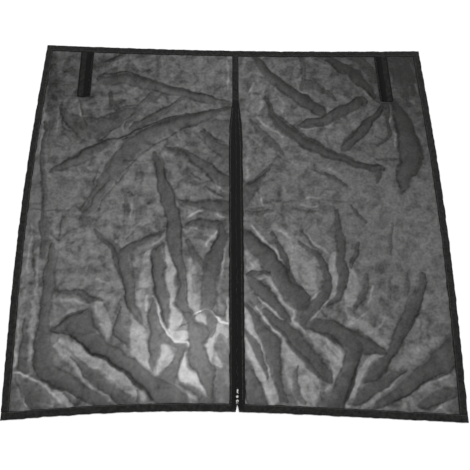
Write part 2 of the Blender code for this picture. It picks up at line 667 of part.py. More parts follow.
def net_panel(side, folds):
    """A panel as a thin closed sheet: a plan cut into triangles along its folds, lifted, and given its thickness."""
    pad = strap_pad(side)
    folds = [(fold, *fold_points(fold)) for fold in folds]
    points, edges = [], []

    def add_line(line, closed=False):
        first = len(points)
        points.extend(line)
        edges.extend((first + i, first + i + 1) for i in range(len(line) - 1))
        if closed:
            edges.append((len(points) - 1, first))

    for loop in panel_loops(side):
        add_line(loop, closed=True)
    box = [(pad[0], pad[1]), (pad[2], pad[1]), (pad[2], pad[3] - 4 * NET_MARGIN), (pad[0], pad[3] - 4 * NET_MARGIN)]
    add_line(box, closed=True)
    for line in (line for fold in folds for line in fold_lines(*fold)):
        kept = []
        for x, y in line:
            inside = visible_room(side, x, y) > 2 * NET_MARGIN and box_gap(pad, x, y) > 2 * NET_MARGIN
            if inside:
                kept.append((float(x), float(y)))
            elif kept:
                add_line(kept)
                kept = []
        if kept:
            add_line(kept)
    found = delaunay_2d_cdt([Vector(p) for p in points], edges, [], 1, NET_WELD)
    plan, triangles = found[0], found[2]
    shape = bmesh.new()
    heights = [net_height(side, folds, pad, p.x, p.y) for p in plan]
    under = [shape.verts.new((p.x, p.y, z)) for p, z in zip(plan, heights)]
    over = [shape.verts.new((p.x, p.y, z + NET_THICKNESS)) for p, z in zip(plan, heights)]
    rim = {}
    for triangle in triangles:
        shape.faces.new([under[i] for i in reversed(triangle)])
        shape.faces.new([over[i] for i in triangle])
        for one, two in zip(triangle, (*triangle[1:], triangle[0])):
            if rim.pop((two, one), None) is None:
                rim[(one, two)] = True
    for one, two in rim:
        shape.faces.new((under[one], under[two], over[two], over[one]))
    loose = [vert for vert in shape.verts if not vert.link_faces]
    bmesh.ops.delete(shape, geom=loose, context="VERTS")
    return shape


def build_nets(root):
    finish = material("net", 0.7)
    add_object("net_left", net_panel(-1, LEFT_FOLDS), root, finish)
    add_object("net_right", net_panel(1, RIGHT_FOLDS), root, finish)


def main():
    clear_scene()
    root = bpy.data.objects.new("screen", None)
    bpy.context.scene.collection.objects.link(root)
    middle = plan_middle()
    root.location = (-middle[0], -middle[1], 0)
    build_border(root)
    build_middle(root)
    build_zip_tapes(root)
    build_teeth(root)
    build_slider(root)
    build_pull(root)
    build_straps(root)
    build_nets(root)


if __name__ == "__main__":
    main()
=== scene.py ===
"""Looks of a zip-front insect screen that lies flat on a pale floor.

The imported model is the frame. The net, the folded tapes and the straps are made again here as cloth in the
place of their plain solids, and the zip keeps the form of its own solids, with finer edges and finishes.
The plan is worked out from the zip line (x = 0) and mid height (y = 0) and then moved to the row frame.
"""

import logging
import math
from dataclasses import dataclass, field, replace
from enum import Enum
from typing import Iterable, Optional

import bmesh
import bpy
import numpy as np
from bpy.types import Material, Node, NodeSocket, NodeTree, Object
from mathutils import Euler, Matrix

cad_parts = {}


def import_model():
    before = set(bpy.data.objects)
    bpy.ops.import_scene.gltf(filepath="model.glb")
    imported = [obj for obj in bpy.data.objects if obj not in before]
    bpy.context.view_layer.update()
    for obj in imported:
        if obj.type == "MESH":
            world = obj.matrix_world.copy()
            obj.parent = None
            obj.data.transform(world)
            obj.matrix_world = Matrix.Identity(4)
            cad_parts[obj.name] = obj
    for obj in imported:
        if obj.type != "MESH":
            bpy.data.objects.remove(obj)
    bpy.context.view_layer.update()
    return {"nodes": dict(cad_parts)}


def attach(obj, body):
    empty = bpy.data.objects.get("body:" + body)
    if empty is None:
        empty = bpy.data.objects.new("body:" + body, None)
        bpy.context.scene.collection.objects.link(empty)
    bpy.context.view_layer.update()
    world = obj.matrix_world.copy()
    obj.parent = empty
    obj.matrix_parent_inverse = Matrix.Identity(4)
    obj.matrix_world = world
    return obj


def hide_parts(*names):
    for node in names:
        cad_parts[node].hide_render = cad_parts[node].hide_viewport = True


log = logging.getLogger("insect_screen")

Array = np.ndarray

MM = 0.001


class Side(Enum):
    """Which half of the screen a piece is on. The value is the sign of its x."""

    LEFT = -1
    RIGHT = 1

    @property
    def word(self) -> str:
        """The side's name as it stands in the names of pieces."""
        return self.name.lower()


def linear(code: str) -> tuple[float, float, float, float]:
    """Turns an sRGB hex colour into linear light.

    Each channel c is c / 12.92 up to 0.04045, and ((c + 0.055) / 1.055) to the power 2.4 above it.

    Args:
        code: the colour as "#rrggbb".

    Returns:
        The linear red, green and blue, with an alpha of 1.
    """
    channels = np.array([int(code[i : i + 2], 16) for i in (1, 3, 5)]) / 255
    curve = ((channels + 0.055) / 1.055) ** 2.4
    red, green, blue = np.where(channels <= 0.04045, channels / 12.92, curve)
    return float(red), float(green), float(blue), 1.0


def smooth(low: float, high: float, value: Array) -> Array:
    """Eases from 0 at low to 1 at high, as t * t * (3 - 2 * t) of the share t between them.

    Args:
        low: where the ease starts.
        high: where it ends.
        value: the values to ease.

    Returns:
        An array of shares from 0 to 1.
    """
    t = np.clip((value - low) / (high - low), 0, 1)
    return t * t * (3 - 2 * t)


def bell(value: Array, middle: float | Array, spread: float | Array) -> Array:
    """A bell curve: e to the power of minus the squared distance from middle, measured in spreads."""
    return np.exp(-(((value - middle) / spread) ** 2))


def ripple_noise(x: Array, y: Array, cell: float, seed: int) -> Array:
    """Gradient noise: each lattice corner has a random slope, and the four slopes round a point blend.

    Args:
        x: first coordinate, in metres.
        y: second coordinate, in metres.
        cell: distance between lattice corners, in metres.
        seed: seed of the lattice's slopes.

    Returns:
        Smooth values from about -1 to 1.
    """
    count, gain = 256, 1.5
    turns = np.random.default_rng(seed).random((count, count)) * 2 * math.pi
    u, v = x / cell + count, y / cell + count
    i, j = np.floor(u).astype(int), np.floor(v).astype(int)
    fu, fv = u - i, v - j
    # A quintic ease is flat at both ends, so that the lattice leaves no lines
    eu, ev = (t * t * t * (t * (t * 6 - 15) + 10) for t in (fu, fv))

    def slope(di: int, dj: int) -> Array:
        """The height that one corner's slope gives at each point."""
        turn = turns[(i + di) % count, (j + dj) % count]
        return np.cos(turn) * (fu - di) + np.sin(turn) * (fv - dj)

    near = slope(0, 0) * (1 - eu) + slope(1, 0) * eu
    far = slope(0, 1) * (1 - eu) + slope(1, 1) * eu
    return gain * (near * (1 - ev) + far * ev)


@dataclass(frozen=True)
class Wave:
    """One layer of ripple noise.

    Attributes:
        size: how far it swings.
        cell: distance between its lattice's corners, in metres.
        seed: seed of its lattice.
    """

    size: float
    cell: float
    seed: int

    def over(self, x: Array, y: Array) -> Array:
        """Its height at each point."""
        return self.size * ripple_noise(x, y, self.cell, self.seed)

    def crests(self, x: Array, y: Array) -> Array:
        """Ridged noise: 1 minus the size of plain noise, so that its crests are sharp where that is 0."""
        return self.size * (1 - np.abs(ripple_noise(x, y, self.cell, self.seed))) ** 4


@dataclass(frozen=True)
class Plan:
    """Outline of the screen in metres, the same curves as the solids have.

    The drops are how much lower the right end of an edge lies than its left end. The sag, rise and bows are
    half sine waves between an edge's ends.
    """

    height: float = 1.250
    left: float = 0.660
    right: float = 0.642
    header_drop: float = 0.0326
    header_sag: float = 0.011
    hem_drop: float = 0.0125
    hem_rise: float = 0.026
    hem_skew: float = 0.004
    left_bow: float = 0.0185
    right_bow: float = 0.0155
    tape: float = 0.022
    seam_half: float = 0.0105
    seam_length: float = 0.209
    band_half: float = 0.0225
    band_spread: float = 0.170
    band_gap: float = 0.0068
    wedge_half: float = 0.005
    fit: float = 0.0003
    traced_zip: float = 0.004
    traced_lean: float = 0.005

    @property
    def width(self) -> float:
        """Width between the corners."""
        return self.left + self.right

    def header(self, x: Array) -> Array:
        """Upper edge: a tilted line that sags like half a sine wave."""
        sag = self.header_sag * np.sin(math.pi * (x + self.left) / self.width)
        return self.height / 2 - self.header_drop * x / self.width - sag

    def hem(self, x: Array) -> Array:
        """Lower edge: a tilted line that rises in the middle, more to the left than to the right."""
        along = (x + self.left) / self.width
        rise = self.hem_rise * np.sin(math.pi * along) + self.hem_skew * np.sin(2 * math.pi * along)
        return -self.height / 2 - self.hem_drop * x / self.width + rise

    def flank(self, side: Side, y: Array) -> Array:
        """Outer edge of a side: a straight line bowed outwards by half a sine wave.

        Args:
            side: which edge.
            y: how far up each point is.

        Returns:
            The edge's x at each y.
        """
        width, bow = (self.left, self.left_bow) if side is Side.LEFT else (self.right, self.right_bow)
        low, high = self.hem(side.value * width), self.header(side.value * width)
        return side.value * (width + bow * np.sin(math.pi * np.clip((y - low) / (high - low), 0, 1)))

    @property
    def seam_bottom(self) -> float:
        """Where the seam tape ends and the zip begins."""
        return float(self.header(0.0)) - self.seam_length

    def band(self, y: Array) -> Array:
        """Half width of the middle band: the seam tape's at the top, easing out to the full band below."""
        down = np.clip((self.seam_bottom - y) / self.band_spread, 0, 1)
        return self.seam_half + (self.band_half - self.seam_half) * down * (2 - down)

    def middle(self) -> tuple[float, float]:
        """Middle of the outline's box.

        Returns:
            The x and y of the point that stands over the row frame's origin.
        """
        stations = 201
        xs = np.linspace(-self.left, self.right, stations)
        ys = np.linspace(-self.height / 2, self.height / 2, stations)
        left, right = self.flank(Side.LEFT, ys).min(), self.flank(Side.RIGHT, ys).max()
        return (left + right) / 2, (self.header(xs).max() + self.hem(xs).min()) / 2

    def traced(self, points: Iterable[tuple[float, float]]) -> Array:
        """Turns points read on the photo's plan, in mm, into points from the zip line.

        The plan's x axis is crossed by the zip at traced_zip, and the zip leans to the left by traced_lean.

        Args:
            points: (x, y) pairs in mm.

        Returns:
            An array of (x, y) rows in metres.
        """
        read = np.array(list(points), float) * MM
        x = read[:, 0] - self.traced_zip + self.traced_lean * read[:, 1]
        return np.stack([x, read[:, 1] - self.traced_lean * read[:, 0]], axis=1)


PLAN = Plan()


@dataclass(frozen=True)
class Layers:
    """Heights over the floor, in metres, as the solids have them.

    A folded tape's upper edge is rounded in and down by lip, and its lower edge in and up by toe.
    """

    tape_fold: float = 0.0012
    tape_top: float = 0.0022
    slot_low: float = 0.0006
    slot_high: float = 0.0016
    net: float = 0.0011
    floor_net: float = 0.0003
    front_strap: float = 0.0016
    back_strap: float = 0.0
    lip: tuple[float, float] = (0.0005, 0.0003)
    toe: tuple[float, float] = (0.0004, 0.0002)


LAYERS = Layers()


def add_node(
    tree: NodeTree, kind: str, settings: Optional[dict] = None, inputs: Optional[dict] = None
) -> Node:
    """Adds a shader node with its settings and links.

    Args:
        tree: the node tree.
        kind: the node's type.
        settings: attributes of the node to set.
        inputs: by socket name or number, a value or the output socket that feeds it.

    Returns:
        The new node.
    """
    node = tree.nodes.new(kind)
    for name, value in (settings or {}).items():
        setattr(node, name, value)
    for key, value in (inputs or {}).items():
        if isinstance(value, NodeSocket):
            tree.links.new(value, node.inputs[key])
        else:
            node.inputs[key].default_value = value
    return node


def new_material(name: str, **sockets: object) -> tuple[Material, NodeTree, Node]:
    """Starts a material on one Principled shader.

    Args:
        name: the material's name.
        **sockets: values for the shader's sockets, with underscores for spaces.

    Returns:
        The material, its node tree and the shader node.
    """
    made = bpy.data.materials.new(name)
    made.use_nodes = True
    shader = made.node_tree.nodes["Principled BSDF"]
    for key, value in sockets.items():
        shader.inputs[key.replace("_", " ")].default_value = value
    return made, made.node_tree, shader


def thread_height(tree: NodeTree, pitch_mm: float, turn: float = 0.0) -> NodeSocket:
    """Plain weave: the larger of two sets of rounded threads that cross at right angles.

    Args:
        tree: the node tree.
        pitch_mm: distance between threads.
        turn: turn of the weave about z, in radians.

    Returns:
        A socket with heights from 0 to 1.
    """
    coordinates = add_node(tree, "ShaderNodeTexCoord").outputs["Object"]
    turned = add_node(tree, "ShaderNodeMapping", inputs={"Vector": coordinates, "Rotation": (0, 0, turn)})
    # A Wave Texture of scale s repeats every 0.314 / s metres
    scale = math.pi / 10 / (pitch_mm * MM)
    warp, weft = (
        add_node(
            tree,
            "ShaderNodeTexWave",
            {"wave_type": "BANDS", "bands_direction": axis, "wave_profile": "SIN"},
            {"Vector": turned.outputs[0], "Scale": scale},
        ).outputs["Fac"]
        for axis in ("X", "Y")
    )
    return add_node(tree, "ShaderNodeMath", {"operation": "MAXIMUM"}, {0: warp, 1: weft}).outputs[0]


def mottle(tree: NodeTree, size_mm: float, detail: float = 3.0) -> NodeSocket:
    """Cloudy noise on Object coordinates.

    Args:
        tree: the node tree.
        size_mm: size of the blotches.
        detail: how many finer layers it has.

    Returns:
        A socket with values round 0.5.
    """
    coordinates = add_node(tree, "ShaderNodeTexCoord").outputs["Object"]
    return add_node(
        tree,
        "ShaderNodeTexNoise",
        {"noise_dimensions": "3D"},
        {"Vector": coordinates, "Scale": 1 / (size_mm * MM), "Detail": detail, "Roughness": 0.6},
    ).outputs["Fac"]


def ramp(tree: NodeTree, factor: NodeSocket, stops: list[tuple[float, str]]) -> NodeSocket:
    """Colours by a factor.

    Args:
        tree: the node tree.
        factor: what chooses the colour.
        stops: each stop's place and sRGB hex colour.

    Returns:
        The socket with the colour.
    """
    node = add_node(tree, "ShaderNodeValToRGB", inputs={"Fac": factor})
    elements = node.color_ramp.elements
    for index, (place, code) in enumerate(stops):
        element = elements[index] if index < 2 else elements.new(place)
        element.position = place
        element.color = linear(code)
    return node.outputs["Color"]


@dataclass(frozen=True)
class NetFinish:
    """Sheer woven polyester net.

    Its black threads cover part of what lies under it. How much they cover comes from the piece's "cover"
    attribute: more where the net is doubled by a fold, and more again as painted shade where it is lifted,
    along creases and at dark crests. It is lowered to paint highlights and pools of light, where more of the
    white floor shows. Threads stand about 1.2 mm apart in the real net, which is finer than the render
    shows, so they are drawn twice as coarse.

    Attributes:
        colour: the threads' colour.
        pale: their colour where they are dusty.
        blotch_mm: size of the dusty blotches.
        pitch_mm: distance between threads.
        weave: how much more a thread covers than a gap.
        level: mean height of the weave, so that the weave doesn't change the mean cover.
        grain: how much the crumples that are finer than the mesh add to the cover.
        grain_mm: size of those crumples.
    """

    colour: str = "#191918"
    pale: str = "#242422"
    blotch_mm: float = 60.0
    pitch_mm: float = 2.4
    weave: float = 0.10
    level: float = 0.68
    grain: float = 0.26
    grain_mm: float = 9.0

    def material(self) -> Material:
        """Makes the material: cover, weave and fine crumples give its alpha.

        Returns:
            The material.
        """
        made, tree, shader = new_material(
            "sheer_polyester_net",
            Roughness=0.62,
            Sheen_Weight=0.04,
            Sheen_Roughness=0.4,
            Specular_IOR_Level=0.12,
        )
        threads = thread_height(tree, self.pitch_mm)
        cover = add_node(tree, "ShaderNodeAttribute", {"attribute_name": "cover"}).outputs["Fac"]
        centred = add_node(
            tree, "ShaderNodeMath", {"operation": "SUBTRACT"}, {0: threads, 1: self.level}
        ).outputs[0]
        woven = add_node(
            tree, "ShaderNodeMath", {"operation": "MULTIPLY_ADD"}, {0: centred, 1: self.weave, 2: cover}
        ).outputs[0]
        fine = add_node(
            tree, "ShaderNodeMath", {"operation": "SUBTRACT"}, {0: mottle(tree, self.grain_mm), 1: 0.5}
        ).outputs[0]
        alpha = add_node(
            tree, "ShaderNodeMath", {"operation": "MULTIPLY_ADD", "use_clamp": True},
            {0: fine, 1: self.grain, 2: woven},
        )
        tree.links.new(alpha.outputs[0], shader.inputs["Alpha"])
        tone = ramp(tree, mottle(tree, self.blotch_mm), [(0.35, self.colour), (0.65, self.pale)])
        tree.links.new(tone, shader.inputs["Base Color"])
        return made


@dataclass(frozen=True)
class TapeFinish:
    """Black polyester tape, woven, matt, with a little fluff and dust that make it blotchy.

    Attributes:
        name: the material's name.
        dark: its colour where threads lie deep.
        light: its colour where fluff stands up.
        pitch_mm: distance between threads.
        depth_mm: depth of the weave.
        turn: turn of the weave about z, in radians.
        blotch_mm: size of the blotches.
        napped: whether hooks cover only the outer half of it, by the piece's "across" attribute, from 0 at
            the outer edge to 1 at the inner edge. The rest is plain and darker.
        weave: how much the threads show in the colour, beside the blotches.
    """

    name: str
    dark: str
    light: str
    pitch_mm: float
    depth_mm: float
    turn: float = 0.0
    blotch_mm: float = 9.0
    napped: bool = False
    weave: float = 0.25

    def material(self) -> Material:
        """Makes the material: blotches and threads give the colour, threads give the bump.

        Returns:
            The material.
        """
        made, tree, shader = new_material(
            self.name, Roughness=0.88, Sheen_Weight=0.05, Sheen_Roughness=0.5, Specular_IOR_Level=0.15
        )
        threads = thread_height(tree, self.pitch_mm, self.turn)
        blotches = mottle(tree, self.blotch_mm)
        both = add_node(
            tree, "ShaderNodeMath", {"operation": "MULTIPLY_ADD"}, {0: threads, 1: self.weave, 2: blotches}
        ).outputs[0]
        if self.napped:
            across = add_node(tree, "ShaderNodeAttribute", {"attribute_name": "across"}).outputs["Fac"]
            plain, full = "#909090", "#ffffff"
            hooks = ramp(tree, across, [(0.04, plain), (0.16, full), (0.5, full), (0.7, plain)])
            both = add_node(
                tree, "ShaderNodeMath", {"operation": "MULTIPLY"}, {0: both, 1: hooks}
            ).outputs[0]
        tone = ramp(tree, both, [(0.45, self.dark), (0.95, self.light)])
        tree.links.new(tone, shader.inputs["Base Color"])
        weave = {"Strength": 0.6, "Distance": self.depth_mm * MM, "Height": threads}
        bump = add_node(tree, "ShaderNodeBump", inputs=weave)
        tree.links.new(bump.outputs[0], shader.inputs["Normal"])
        return made


@dataclass(frozen=True)
class ThreadFinish:
    """Spun polyester sewing thread, twisted, with a dull shine."""

    dark: str = "#3f3f3d"
    light: str = "#6b6b67"
    blotch_mm: float = 4.0

    def material(self) -> Material:
        """Makes the material: fine noise breaks up the thread's colour.

        Returns:
            The material.
        """
        made, tree, shader = new_material("polyester_thread", Roughness=0.6, Sheen_Weight=0.2)
        tone = ramp(tree, mottle(tree, self.blotch_mm), [(0.3, self.dark), (0.7, self.light)])
        tree.links.new(tone, shader.inputs["Base Color"])
        return made


@dataclass(frozen=True)
class AcetalFinish:
    """Moulded black acetal of the zip's teeth: satin, with faint flow marks."""

    dark: str = "#080808"
    light: str = "#0f0f0f"
    marks_mm: float = 3.0
    roughness: tuple[float, float] = (0.45, 0.62)

    def material(self) -> Material:
        """Makes the material: noise varies its roughness and colour a little.

        Returns:
            The material.
        """
        made, tree, shader = new_material("moulded_acetal", Specular_IOR_Level=0.12)
        marks = mottle(tree, self.marks_mm)
        low, high = self.roughness
        rough = add_node(tree, "ShaderNodeMapRange", inputs={"Value": marks, "To Min": low, "To Max": high})
        tree.links.new(rough.outputs[0], shader.inputs["Roughness"])
        tone = ramp(tree, marks, [(0.3, self.dark), (0.7, self.light)])
        tree.links.new(tone, shader.inputs["Base Color"])
        return made


@dataclass(frozen=True)
class NickelFinish:
    """Nickel plate on die-cast zinc, dark, with glints painted into its colour as bright spots.

    Attributes:
        name: the material's name.
        glints: the middle and the half sizes in x and y of each painted glint, in row-frame metres at rest.
        dark_metal: its colour outside the painted glints.
        bright: the colour of the painted glints.
        ragged: how much noise is added to the distance from a spot's middle.
        ragged_mm: size of that noise.
        edge: the distances, noise included, at which a spot begins and is full.
        marks_mm: size of the fine marks.
        roughness: its range over the marks.
        pitted_mm: depth of the marks.
    """

    name: str
    glints: tuple[tuple[float, float, float, float], ...]
    dark_metal: str = "#262625"
    bright: str = "#efeeea"
    ragged: float = 1.1
    ragged_mm: float = 2.5
    edge: tuple[float, float] = (1.75, 1.3)
    marks_mm: float = 1.5
    roughness: tuple[float, float] = (0.16, 0.32)
    pitted_mm: float = 0.03

    def painted_glints(self, tree: NodeTree) -> NodeSocket:
        """Where the glints are painted, by the distance from the middle of a spot and some noise.

        Args:
            tree: the node tree.

        Returns:
            A socket that is 1 in a spot and 0 outside all of them.
        """
        place = add_node(tree, "ShaderNodeTexCoord").outputs["Object"]
        total = None
        for x, y, half_x, half_y in self.glints:
            offset = add_node(
                tree, "ShaderNodeVectorMath", {"operation": "SUBTRACT"}, {0: place, 1: (x, y, 0)}
            ).outputs[0]
            scaled = add_node(
                tree,
                "ShaderNodeVectorMath",
                {"operation": "MULTIPLY"},
                {0: offset, 1: (1 / half_x, 1 / half_y, 0)},
            ).outputs[0]
            away = add_node(tree, "ShaderNodeVectorMath", {"operation": "LENGTH"}, {0: scaled})
            ragged = add_node(
                tree,
                "ShaderNodeMath",
                {"operation": "MULTIPLY_ADD"},
                {0: mottle(tree, self.ragged_mm), 1: self.ragged, 2: away.outputs["Value"]},
            ).outputs[0]
            begins, full = self.edge
            share = add_node(
                tree, "ShaderNodeMapRange", inputs={"Value": ragged, "From Min": begins, "From Max": full}
            ).outputs[0]
            total = share if total is None else add_node(
                tree, "ShaderNodeMath", {"operation": "MAXIMUM"}, {0: total, 1: share}
            ).outputs[0]
        return total

    def material(self) -> Material:
        """Makes the material: painted glints bright in their spots, dark elsewhere, with a little fine
        noise.

        Returns:
            The material.
        """
        made, tree, shader = new_material(self.name, Metallic=1.0)
        marks = mottle(tree, self.marks_mm)
        painted_glints = self.painted_glints(tree)
        low, high = self.roughness
        rough = add_node(tree, "ShaderNodeMapRange", inputs={"Value": marks, "To Min": low, "To Max": high})
        tree.links.new(rough.outputs[0], shader.inputs["Roughness"])
        tone = ramp(tree, painted_glints, [(0.0, self.dark_metal), (1.0, self.bright)])
        tree.links.new(tone, shader.inputs["Base Color"])
        pits = {"Strength": 0.2, "Distance": self.pitted_mm * MM, "Height": marks}
        bump = add_node(tree, "ShaderNodeBump", inputs=pits)
        tree.links.new(bump.outputs[0], shader.inputs["Normal"])
        return made


def add_piece(
    name: str,
    points: Array,
    faces: Array | list,
    finish: Material,
    body: str = "screen",
    rounded: bool = True,
) -> Object:
    """Puts arrays into a mesh, moves it from the plan to the row frame and lets it ride on a body.

    Args:
        name: the piece's name.
        points: (n, 3) places from the zip line, in metres.
        faces: rows of point numbers.
        finish: the material.
        body: the CAD body that carries it.
        rounded: whether its faces are shaded smoothly.

    Returns:
        The new object, which sits at the origin.
    """
    middle = PLAN.middle()
    mesh = bpy.data.meshes.new(name)
    mesh.from_pydata(points - np.array([middle[0], middle[1], 0.0]), [], [list(face) for face in faces])
    mesh.polygons.foreach_set("use_smooth", np.full(len(mesh.polygons), rounded))
    mesh.materials.append(finish)
    mesh.validate()
    mesh.update()
    obj = bpy.data.objects.new(name, mesh)
    bpy.context.scene.collection.objects.link(obj)
    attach(obj, body)
    log.info("%s: %d points, %d faces", name, len(mesh.vertices), len(mesh.polygons))
    return obj


def sheet_faces(rows: int, columns: int, flip: bool = False) -> Array:
    """Quads between neighbours of a grid.

    Args:
        rows: how many rows of points the grid has.
        columns: how many points a row has, numbered row by row.
        flip: whether the quads face the other way.

    Returns:
        Rows of four point numbers.
    """
    corner = (np.arange(rows - 1)[:, None] * columns + np.arange(columns - 1)).ravel()
    quads = np.stack([corner, corner + 1, corner + columns + 1, corner + columns], axis=1)
    return quads[:, ::-1] if flip else quads


def tube_faces(rings: int, around: int, flip: bool = False) -> list:
    """Quads round a row of closed rings, and one cap at each end.

    Args:
        rings: how many rings there are.
        around: how many points a ring has, numbered ring by ring.
        flip: whether the faces face the other way.

    Returns:
        Point numbers of each face.
    """
    ring, corner = np.meshgrid(np.arange(rings - 1), np.arange(around), indexing="ij")
    after = (corner + 1) % around
    here, there = ring * around, (ring + 1) * around
    quads = np.stack([here + corner, here + after, there + after, there + corner], axis=-1).reshape(-1, 4)
    caps = [np.arange(around)[::-1], (rings - 1) * around + np.arange(around)]
    return [face[::-1] if flip else face for face in [*quads, *caps]]


@dataclass(frozen=True)
class Spot:
    """A round area of the net, on the photo's plan in mm.

    Attributes:
        x: its middle's x.
        y: its middle's y.
        radius: its radius.
        painted_light: painted light in the net's cover there, how much paler it is painted, below 0 painted
            shade, how much darker.
        rough: how much more it is crumpled there, below 0 less.
    """

    x: float
    y: float
    radius: float
    painted_light: float = 0.0
    rough: float = 0.0


@dataclass(frozen=True)
class Mark:
    """Something that lies along a curve of the net, read on the photo's plan.

    Attributes:
        path: (x, y, width) at the points that it passes through, in mm.
    """

    path: tuple[tuple[float, float, float], ...]

    def line(self) -> Array:
        """The path, with its corners cut a few times so that it bends and swells smoothly.

        A cut puts two points in the place of each corner, a quarter of the way along the lines beside it.

        Returns:
            Rows of x, y and width in metres.
        """
        cuts, near, far = 2, 0.25, 0.75
        read = np.array(self.path, float)
        points = np.column_stack([PLAN.traced(read[:, :2]), read[:, 2] * MM])
        for _ in range(cuts):
            ahead, behind = far * points[:-1] + near * points[1:], near * points[:-1] + far * points[1:]
            between = np.stack([ahead, behind], axis=1).reshape(-1, 3)
            points = np.concatenate([points[:1], between, points[-1:]])
        return points

    def reach(self, x: Array, y: Array) -> tuple[Array, Array, Array]:
        """Distance of each point from the nearest place on the path.

        Args:
            x: plan x.
            y: plan y.

        Returns:
            The distance, half the mark's width at that place, and the step from that place to the point as
            one row for x and one for y, all in metres.
        """
        line = self.line()
        gap, half, offset = np.full_like(x, np.inf), np.zeros_like(x), np.zeros((2, *x.shape))
        for start, end in zip(line, line[1:]):
            along = end[:2] - start[:2]
            t = np.clip(((x - start[0]) * along[0] + (y - start[1]) * along[1]) / (along @ along), 0, 1)
            step = np.stack([x - start[0] - t * along[0], y - start[1] - t * along[1]])
            here = np.hypot(*step)
            # The place whose edge is nearest counts, so that a wide part isn't cut off by a narrow one
            width = (start[2] + t * (end[2] - start[2])) / 2
            closer = here - width < gap - half
            gap, half = np.where(closer, here, gap), np.where(closer, width, half)
            offset = np.where(closer, step, offset)
        return gap, half, offset

    def near(self, x: Array, y: Array, margin: float) -> Array:
        """Which points lie in the box round the path.

        Args:
            x: plan x.
            y: plan y.
            margin: how far past the mark's edge the box reaches.

        Returns:
            An array of true and false.
        """
        line = self.line()
        reach = line[:, 2].max() / 2 + margin
        low, high = line.min(axis=0) - reach, line.max(axis=0) + reach
        return (x > low[0]) & (x < high[0]) & (y > low[1]) & (y < high[1])


@dataclass(frozen=True)
class Fold(Mark):
    """A broad fold, where the net stands off the floor or lies double, which darkens it partly as painted
    shade.

    Attributes:
        height: height of its ridge, in mm.
        weight: how much darker it is than the net round it, partly painted shade, as a share of the usual.
            Below 0 it is a paler area of painted light.
    """

    height: float
    weight: float


@dataclass(frozen=True)
class Crease(Mark):
    """A sharp crease, drawn as a dark line of painted shade that is partly the net seen double, or a pale
    streak of painted light where more of the floor shows.

    Attributes:
        depth: how dark its painted shade is, or below 0 how pale its painted light.
    """

    depth: float


def folds(*rows: tuple) -> tuple[Fold, ...]:
    """Folds from rows of height, weight and the points of the path."""
    return tuple(Fold(tuple(path), height, weight) for height, weight, *path in rows)


def gleams(*rows: tuple) -> tuple[Fold, ...]:
    """Pale areas of painted light with clear edges, through which more of the floor shows, from rows of
    depth and path.
    """
    return tuple(Fold(tuple(path), 0.0, -depth) for depth, *path in rows)


def creases(*rows: tuple) -> tuple[Crease, ...]:
    """Dark creases of painted shade and pale streaks of painted light, that come to a point at both ends.

    Args:
        *rows: depth, width in mm and the (x, y) points of the path.

    Returns:
        The creases.
    """
    end_share = 0.3
    made = []
    for depth, width, *path in rows:
        widths = np.full(len(path), float(width))
        widths[[0, -1]] *= end_share
        made.append(Crease(tuple((x, y, float(w)) for (x, y), w in zip(path, widths)), depth))
    return tuple(made)
